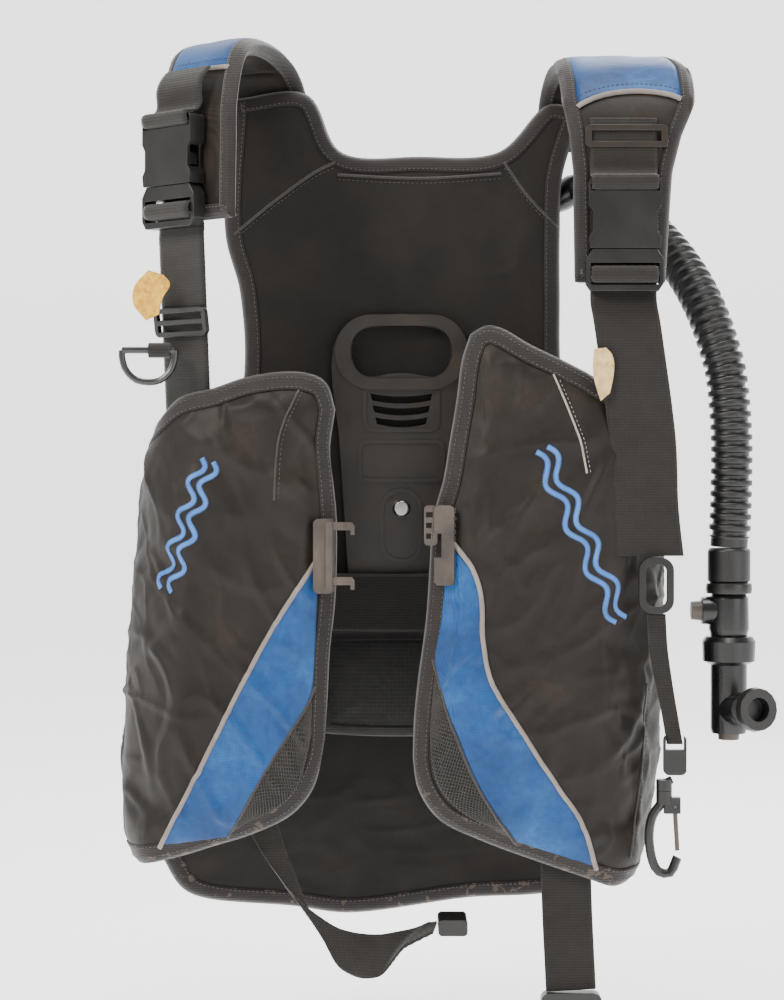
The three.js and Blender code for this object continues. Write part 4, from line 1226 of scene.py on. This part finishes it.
pads = {
    "left": {
        "stations": (((-105, 69.5, -48), (36, 0, 0)), ((-107, 69.5, -4), (36, 0, 0)),
                     ((-114, 54, 15), (35, -8, 0)),
                     ((-128, 12, 22), (32, -20, 0)), ((-141, -30, 10), (30, -25, 0)),
                     ((-146, -60, -34), (29, -27, 0)), ((-146, -66, -62), (29, -27, 0)),
                     ((-146, -66, -118), (28, -26, 0))),
        "centre": (-125, 5, -70), "facingEnd": 0.615, "slant": 0.0, "dip": 0.0,
    },
    "right": {
        "stations": (((157, 69.5, -48), (38, 0, 0)), ((159, 69.5, -16), (39, 0, 0)),
                     ((164, 50, 4), (41, -2, 0)),
                     ((172, 10, 11), (45, -3, 0)), ((178, -32, -2), (50, -3, 0)),
                     ((179, -60, -30), (49, -1, 0)),
                     ((176, -69, -56), (41, 0, 0)), ((174, -70, -84), (36, 0, 0)),
                     ((172, -70, -165), (33, 0, 0))),
        "centre": (172, 5, -70), "facingEnd": 0.56, "slant": -0.012, "dip": 0.045,
    },
    "half": 5.6, "rim": 2.6, "plump": 15, "cols": 22, "step": 4.2, "tape": 9.5,
}


def padGrid(plan):
    stations = plan["stations"]
    centres = Curve(inMetres([s[0] for s in stations]))
    halfAt = halfWidths(stations, lambda t: t)
    rows = int(centres.length / (pads["step"] * mm))
    places = []
    for i in range(rows + 1):
        half = halfAt(i / rows)
        here = centres.at(i / rows)
        places.append([here + half * (j / pads["cols"] * 2 - 1) for j in range(pads["cols"] + 1)])
    return places


for side in ("left", "right"):
    plan = pads[side]
    places = padGrid(plan)
    heart = Vector(plan["centre"]) * mm
    normals = gridNormals(places, lambda p, h=heart: Vector((0, p.y - h.y, p.z - h.z)))
    pad = quiltMesh(side + "_pad_core", places, normals,
                    rimHalf(places, pads["half"], pads["rim"], pads["plump"]), darkFabric)
    fade = edgeFade(places, 7, 12)
    buckleClear = Vector((-158, -72, -90)) * mm if side == "left" else Vector((174, -76, -120)) * mm

    def room(p, base=buckleClear, fade=fade):
        # the pad stays flat where the buckle and straps press on it
        pressed = p.y < base.y + 24 * mm and p.z < -8 * mm
        rear = p.y > 58 * mm and p.z < 0
        return fade(p) * (0.0 if pressed or rear else 1.0)

    puff(pad, cap=3.5, pressure=3, voxel=0, keep=room)
    wrinkle(pad, (foldNoise(26, (1, 1, 1), 1.0, 4 if side == "left" else 9),
                  foldNoise(12, (1, 1, 1), 0.45, 6, True)), room)
    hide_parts(side + "_shoulder_pad")
    tree = surfaceOf(pad)
    rows, cols = len(places) - 1, pads["cols"]
    facing = []
    last = int(rows * (plan["facingEnd"] + plan["dip"]))
    count = last + 1
    for i in range(count):
        line = []
        for j in range(2, cols - 1):
            s = j / cols * 2 - 1
            end = plan["facingEnd"] + plan["slant"] * s + plan["dip"] * s * s
            at = i / (count - 1) * end * rows
            k = min(int(at), rows - 1)
            t = at - k
            line.append((places[k][j].lerp(places[k + 1][j], t), normals[k][j]))
        facing.append(line)
    castPanel(side + "_pad_facing", tree, facing, blueFabric, "root")
    lip = [castAlong(tree, p + n * 22 * mm, -n, p) + n * 1.5 * mm for p, n in facing[-1]]
    roundLine(side + "_pad_piping", Curve(lip), 1.9 * mm, piping)
    backLip = [(castAlong(tree, p + n * 22 * mm, -n, p) + n * 1.1 * mm, n) for p, n in facing[-3]]
    stitches(side + "_pad_piping_thread", backLip, thread)
    boundRim(side + "_pad_binding", tree, places, normals, pads["tape"], side + "_pad_thread")
print("shoulder pads ready")


# ---- back panel with its collar, yoke seams and bound edge
backPlan = {
    "top": ((-128, 56, -10), (-69, 56, -6), (-42, 56, -52), (22, 56, -56), (87, 56, -52), (127, 56, -14),
            (152, 56, -20)),
    "bottom": ((-184, 56, -615), (-163, 56, -646), (-76, 56, -659), (-35, 56, -664), (58, 56, -652),
               (140, 56, -644), (180, 56, -614)),
    "left": ((-128, 56, -10), (-133, 56, -116), (-121, 56, -165), (-119, 56, -240), (-152, 56, -350),
             (-176, 56, -470), (-184, 56, -615)),
    "right": ((152, 56, -20), (136, 56, -70), (134, 56, -116), (134, 56, -165), (136, 56, -240),
              (160, 56, -350),
              (176, 56, -470), (180, 56, -614)),
    "rows": 118, "cols": 64, "half": 5.6, "rim": 3.2, "plump": 14, "tape": 11,
    "curl": 0.0029, "flat": 110, "centre": 7.5,
}


def curled(p):
    off = max(0.0, abs(p.x / mm - backPlan["centre"]) - backPlan["flat"])
    return Vector((p.x, p.y - backPlan["curl"] * off * off * mm, p.z))


backEdges = {k: Curve(inMetres(backPlan[k])) for k in ("top", "bottom", "left", "right")}
places = [[curled(patchPoint(backEdges, j / backPlan["cols"], i / backPlan["rows"]))
           for j in range(backPlan["cols"] + 1)] for i in range(backPlan["rows"] + 1)]
normals = gridNormals(places, lambda p: Vector((0, -1, 0)))
back = quiltMesh("back_panel_cloth", places, normals,
                 rimHalf(places, backPlan["half"], backPlan["rim"], backPlan["plump"]), backFabric)
subdivided(back)
backFade = edgeFade(places, 6, 22)
plateZone = {"x0": -70, "x1": 84, "z0": -545, "z1": -168, "soft": 26}


def backRoom(p):
    # flat behind the plate and the lumbar pad, and at the bound edge
    x, z = p.x / mm, p.z / mm
    dx = max(plateZone["x0"] - x, x - plateZone["x1"], 0)
    dz = max(plateZone["z0"] - z, z - plateZone["z1"], 0)
    free = smooth(math.hypot(dx, dz) / plateZone["soft"])
    front = 1.0 if p.y < curled(Vector((p.x, 56 * mm, p.z))).y else 0.0
    padded = 0.25 if z > -60 and abs(x - 7.5) > 80 else 1.0
    return free * front * backFade(p) * padded


wrinkle(back, (foldNoise(80, (1, 1, 0.6), 3.0, 21.3), foldNoise(38, (0.55, 1, 1.5), 2.2, 33.1, True),
               foldNoise(15, (1, 1, 1), 0.6, 2.2)), backRoom)
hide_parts("back_panel")
backTree = surfaceOf(back)
boundRim("back_binding", backTree, places, normals, backPlan["tape"], "back_binding_thread")
backSeams = {
    "left_yoke": [(-127, -118), (-98, -94), (-62, -68), (-46, -60)],
             "right_yoke": [(133, -112), (110, -88), (90, -60)],
    "collar": [(-44, -70), (22, -73), (88, -69)], "waist_line": [(-150, -437), (-60, -435), (80, -435),
                                                                 (165, -437)],
}
for name, line in backSeams.items():
    laidCord("back_seam_" + name, backTree, line, 1.1, darkCord, "root", 0.3)
    laidStitches("back_thread_" + name, backTree, [(x, z - 4) for x, z in line], thread, "root")
print("back panel ready")


# ---- the lumbar pad, puffed on its free face
def squareGrid(low, high, y, cols, rows, corner):
    wide, tall = (high.x - low.x) / 2, (high.z - low.z) / 2
    middle = (low + high) / 2
    grid = []
    for i in range(rows + 1):
        line = []
        for j in range(cols + 1):
            a, b = j / cols * 2 - 1, 1 - i / rows * 2
            pull = 1 - corner * (a * a) * (b * b)
            line.append(Vector((middle.x + a * wide * pull, y, middle.z + b * tall * pull)))
        grid.append(line)
    return grid


lumbar = {"y": 43.6, "half": 5.2, "rim": 2.4, "plump": 16, "tape": 7, "cols": 44, "rows": 30, "corner": 0.06}
places = squareGrid(*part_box("lumbar_pad"), lumbar["y"] * mm, lumbar["cols"], lumbar["rows"], lumbar["corner"])
normals = gridNormals(places, lambda p: Vector((0, -1, 0)))
pad = quiltMesh("lumbar_pad_cloth", places, normals,
                rimHalf(places, lumbar["half"], lumbar["rim"], lumbar["plump"]), coarseMesh)
lumbarFade = edgeFade(places, 2, 14)
puff(pad, cap=4, pressure=4, voxel=0, keep=lambda p: lumbarFade(p) if p.y < lumbar["y"] * mm else 0.0)
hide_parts("lumbar_pad")
boundRim("lumbar_binding", surfaceOf(pad), places, normals, lumbar["tape"])
print("lumbar pad ready")


# ---- the air bladder, blown up in front of the cylinder
bladder = {"cap": 9, "front": 62.4, "valve": (-82, 96.6, -532), "elbow": (112, 79.3, -96.5)}
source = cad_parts["air_bladder"]
obj = bpy.data.objects.new("bladder_cloth", source.data.copy())
scene.collection.objects.link(obj)
weld(obj, 2e-5)
valveSeat, elbowSeat = (Vector(bladder[k]) * mm for k in ("valve", "elbow"))


def bladderRoom(p):
    seat = min((Vector((p.x, 0, p.z)) - Vector((valveSeat.x, 0, valveSeat.z))).length / (40 * mm),
               (p - elbowSeat).length / (34 * mm))
    return smooth(min(seat, 1.0) - 0.55) * 1.0 if seat < 1.0 else 1.0


puff(obj, cap=bladder["cap"], pressure=4, voxel=6, keep=bladderRoom)
for vertex in obj.data.vertices:
    vertex.co.y = max(vertex.co.y, bladder["front"] * mm)
finishPiece(obj, darkFabric, "root")
wrinkle(obj, (foldNoise(40, (1, 1, 0.7), 2.0, 41.0, True), foldNoise(16, (1, 1, 1), 0.7, 44.0)),
        lambda p: bladderRoom(p) * (1.0 if p.y > 75 * mm else 0.0))
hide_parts("air_bladder")
bladderTree = surfaceOf(obj)
bladderLine = {
    "depth": 79.3,
    "points": [(-112, -590), (-112, -420), (-112, -250), (-112, -100), (-106, -72), (-84, -62), (0, -62),
               (80, -62),
               (94, -66), (112, -96), (130, -128), (132, -150), (132, -280), (132, -440), (132, -590),
               (126, -602), (102, -602), (78, -602), (72, -590), (72, -440), (71, -260), (62, -214),
               (38, -192),
               (7.5, -186), (-23, -192), (-47, -214), (-56, -260), (-57, -440), (-57, -590), (-63, -602),
               (-85, -602), (-106, -602)],
}


def bladderSeam(name, depth, radius, look):
    outline = Curve(flat(bladderLine["points"]), closed=True)
    count = 260
    line = []
    for i in range(count):
        share = i / count
        p = outline.at(share)
        ahead = (outline.at((share + 0.004) % 1) - outline.at((share - 0.004) % 1)).normalized()
        out = Vector((ahead.z, 0, -ahead.x))
        p = Vector((p.x, depth * mm, p.z))
        # the outline runs clockwise seen from the front, so this side is away from the cloth
        hit = castAlong(bladderTree, p - out * 30 * mm, out, None)
        if hit is None or (hit - p).length > 24 * mm:
            hit = p
        line.append(hit - out * 0.4 * mm)
    roundLine(name, Curve(line, closed=True), radius * mm, look, closed=True)


bladderSeam("bladder_welt", bladderLine["depth"], 1.7, darkCord)
print("bladder ready")


# ---- sewn details on the lobes
# two embroidered wave lines stand where the fabric is decorated
emblem = {"radius": 1.5, "swing": 4.6, "waves": 4.0,
          "left": ((-170, -398), (-138, -300)), "right": ((112, -292), (172, -420))}
blueThread = cordFinish("blue thread", "blue_fabric", rgb(34, 92, 168), rgb(88, 146, 214))


def waveLine(first, last, shift):
    (x0, z0), (x1, z1) = first, last
    run = math.hypot(x1 - x0, z1 - z0)
    ax, az = (x1 - x0) / run, (z1 - z0) / run
    line = []
    for k in range(49):
        t = k / 48
        off = shift + emblem["swing"] * math.sin(2 * math.pi * emblem["waves"] * t)
        line.append((x0 + ax * run * t - az * off, z0 + az * run * t + ax * off))
    return line


for side in ("left", "right"):
    tree = sides[side]["tree"]
    for k, shift in enumerate((-4.5, 4.5)):
        line = waveLine(*emblem[side], shift)
        attach(laidCord(side + f"_wave_{k}", tree, line, emblem["radius"], blueThread, lift=-0.4))
        attach(laidStitches(side + f"_wave_thread_{k}", tree, line, blueThread, lift=0.4, length=5.0 * mm,
                            pitch=1.0 * mm, thick=0.8 * mm, satin=True))
lobeSeams = {
    "left": {"dart": [(-70, -248), (-84, -282), (-88, -330)]},
    "right": {"outer_seam": [(194, -470), (190, -530), (180, -600)],
              "pleat": [(121, -236), (132, -262), (141, -286), (146, -310)]},
}
for side, lines in lobeSeams.items():
    tree = sides[side]["tree"]
    for name, line in lines.items():
        cordLook, threadLook = (paleThread, paleThread) if name == "pleat" else (darkCord, thread)
        beside = [(x + 3, z) for x, z in line]
        attach(laidCord(side + "_" + name, tree, line, 0.8, cordLook, lift=0.3))
        attach(laidStitches(side + "_" + name + "_thread", tree, beside, threadLook))

# zigzag sewing that holds the two clips
clipSewing = {"left": (-55.5, -398, -346), "right": (47.5, -392, -336), "swing": 1.6, "turns": 22}
for side in ("left", "right"):
    x, z0, z1 = clipSewing[side]
    turns, swing = clipSewing["turns"], clipSewing["swing"]
    line = [(x + (swing if k % 2 else -swing), z0 + (z1 - z0) * k / turns) for k in range(turns + 1)]
    attach(laidCord(side + "_clip_zigzag", sides[side]["tree"], line, 0.45, thread, lift=1.2))
print("sewn details ready")


# ---- floor and light
floorAt = cadBox[0][2] - 0.03
stage = {"size": 30.0, "sweep": 1.2, "behind": 4.0, "front": -30.0, "top": 14.0, "colour": rgb(232, 233, 234)}


def makeStage():
    f = Finish("studio paper", "fabric", Roughness=0.85, Emission_Strength=1.35,
               Emission_Color=(1.0, 1.0, 1.0, 1))
    brighter = tuple(c * 1.03 for c in stage["colour"])
    f.colour(f.ramp(f.noise(900, 2), ((0.3, stage["colour"]), (0.7, brighter))))
    f.bump(f.noise(40, 3), 0.05, 1)
    profile = [(stage["front"], floorAt), (stage["behind"], floorAt)]
    for k in range(1, 13):
        turn = math.pi / 2 * k / 12
        profile.append((stage["behind"] + stage["sweep"] * math.sin(turn),
                        floorAt + stage["sweep"] * (1 - math.cos(turn))))
    profile.append((stage["behind"] + stage["sweep"], stage["top"]))
    points = [(x, y, z) for y, z in profile for x in (-stage["size"], stage["size"])]
    faces = [(2 * k, 2 * k + 1, 2 * k + 3, 2 * k + 2) for k in range(len(profile) - 1)]
    mesh = bpy.data.meshes.new("studio_floor")
    mesh.from_pydata(points, [], faces)
    floor = bpy.data.objects.new("studio_floor", mesh)
    scene.collection.objects.link(floor)
    floor.data.materials.append(f.material)
    shadeSmooth(floor)


def softLight(name, place, power, size, target=(0, 0, -0.33), tint=(1, 1, 1)):
    data = bpy.data.lights.new(name, "AREA")
    data.energy = power
    data.size = size
    data.color = tint
    lamp = bpy.data.objects.new(name, data)
    scene.collection.objects.link(lamp)
    lamp.location = place
    lamp.rotation_euler = (Vector(target) - Vector(place)).to_track_quat("-Z", "Y").to_euler()


makeStage()
softLight("key", (-1.5, -1.5, 1.0), 60, 0.8, tint=(1.0, 0.94, 0.86))
softLight("fill", (1.7, -1.7, 0.2), 20, 1.4, tint=(1.0, 0.93, 0.83))
softLight("top", (0.2, -0.5, 1.7), 34, 0.9)
softLight("rear", (0.9, 1.4, 0.9), 36, 1.2)
world = bpy.data.worlds.new("studio")
scene.world = world
world.use_nodes = True
world.node_tree.nodes["Background"].inputs["Color"].default_value = (1.0, 0.96, 0.9, 1)
world.node_tree.nodes["Background"].inputs["Strength"].default_value = 0.55

print("scene ready")
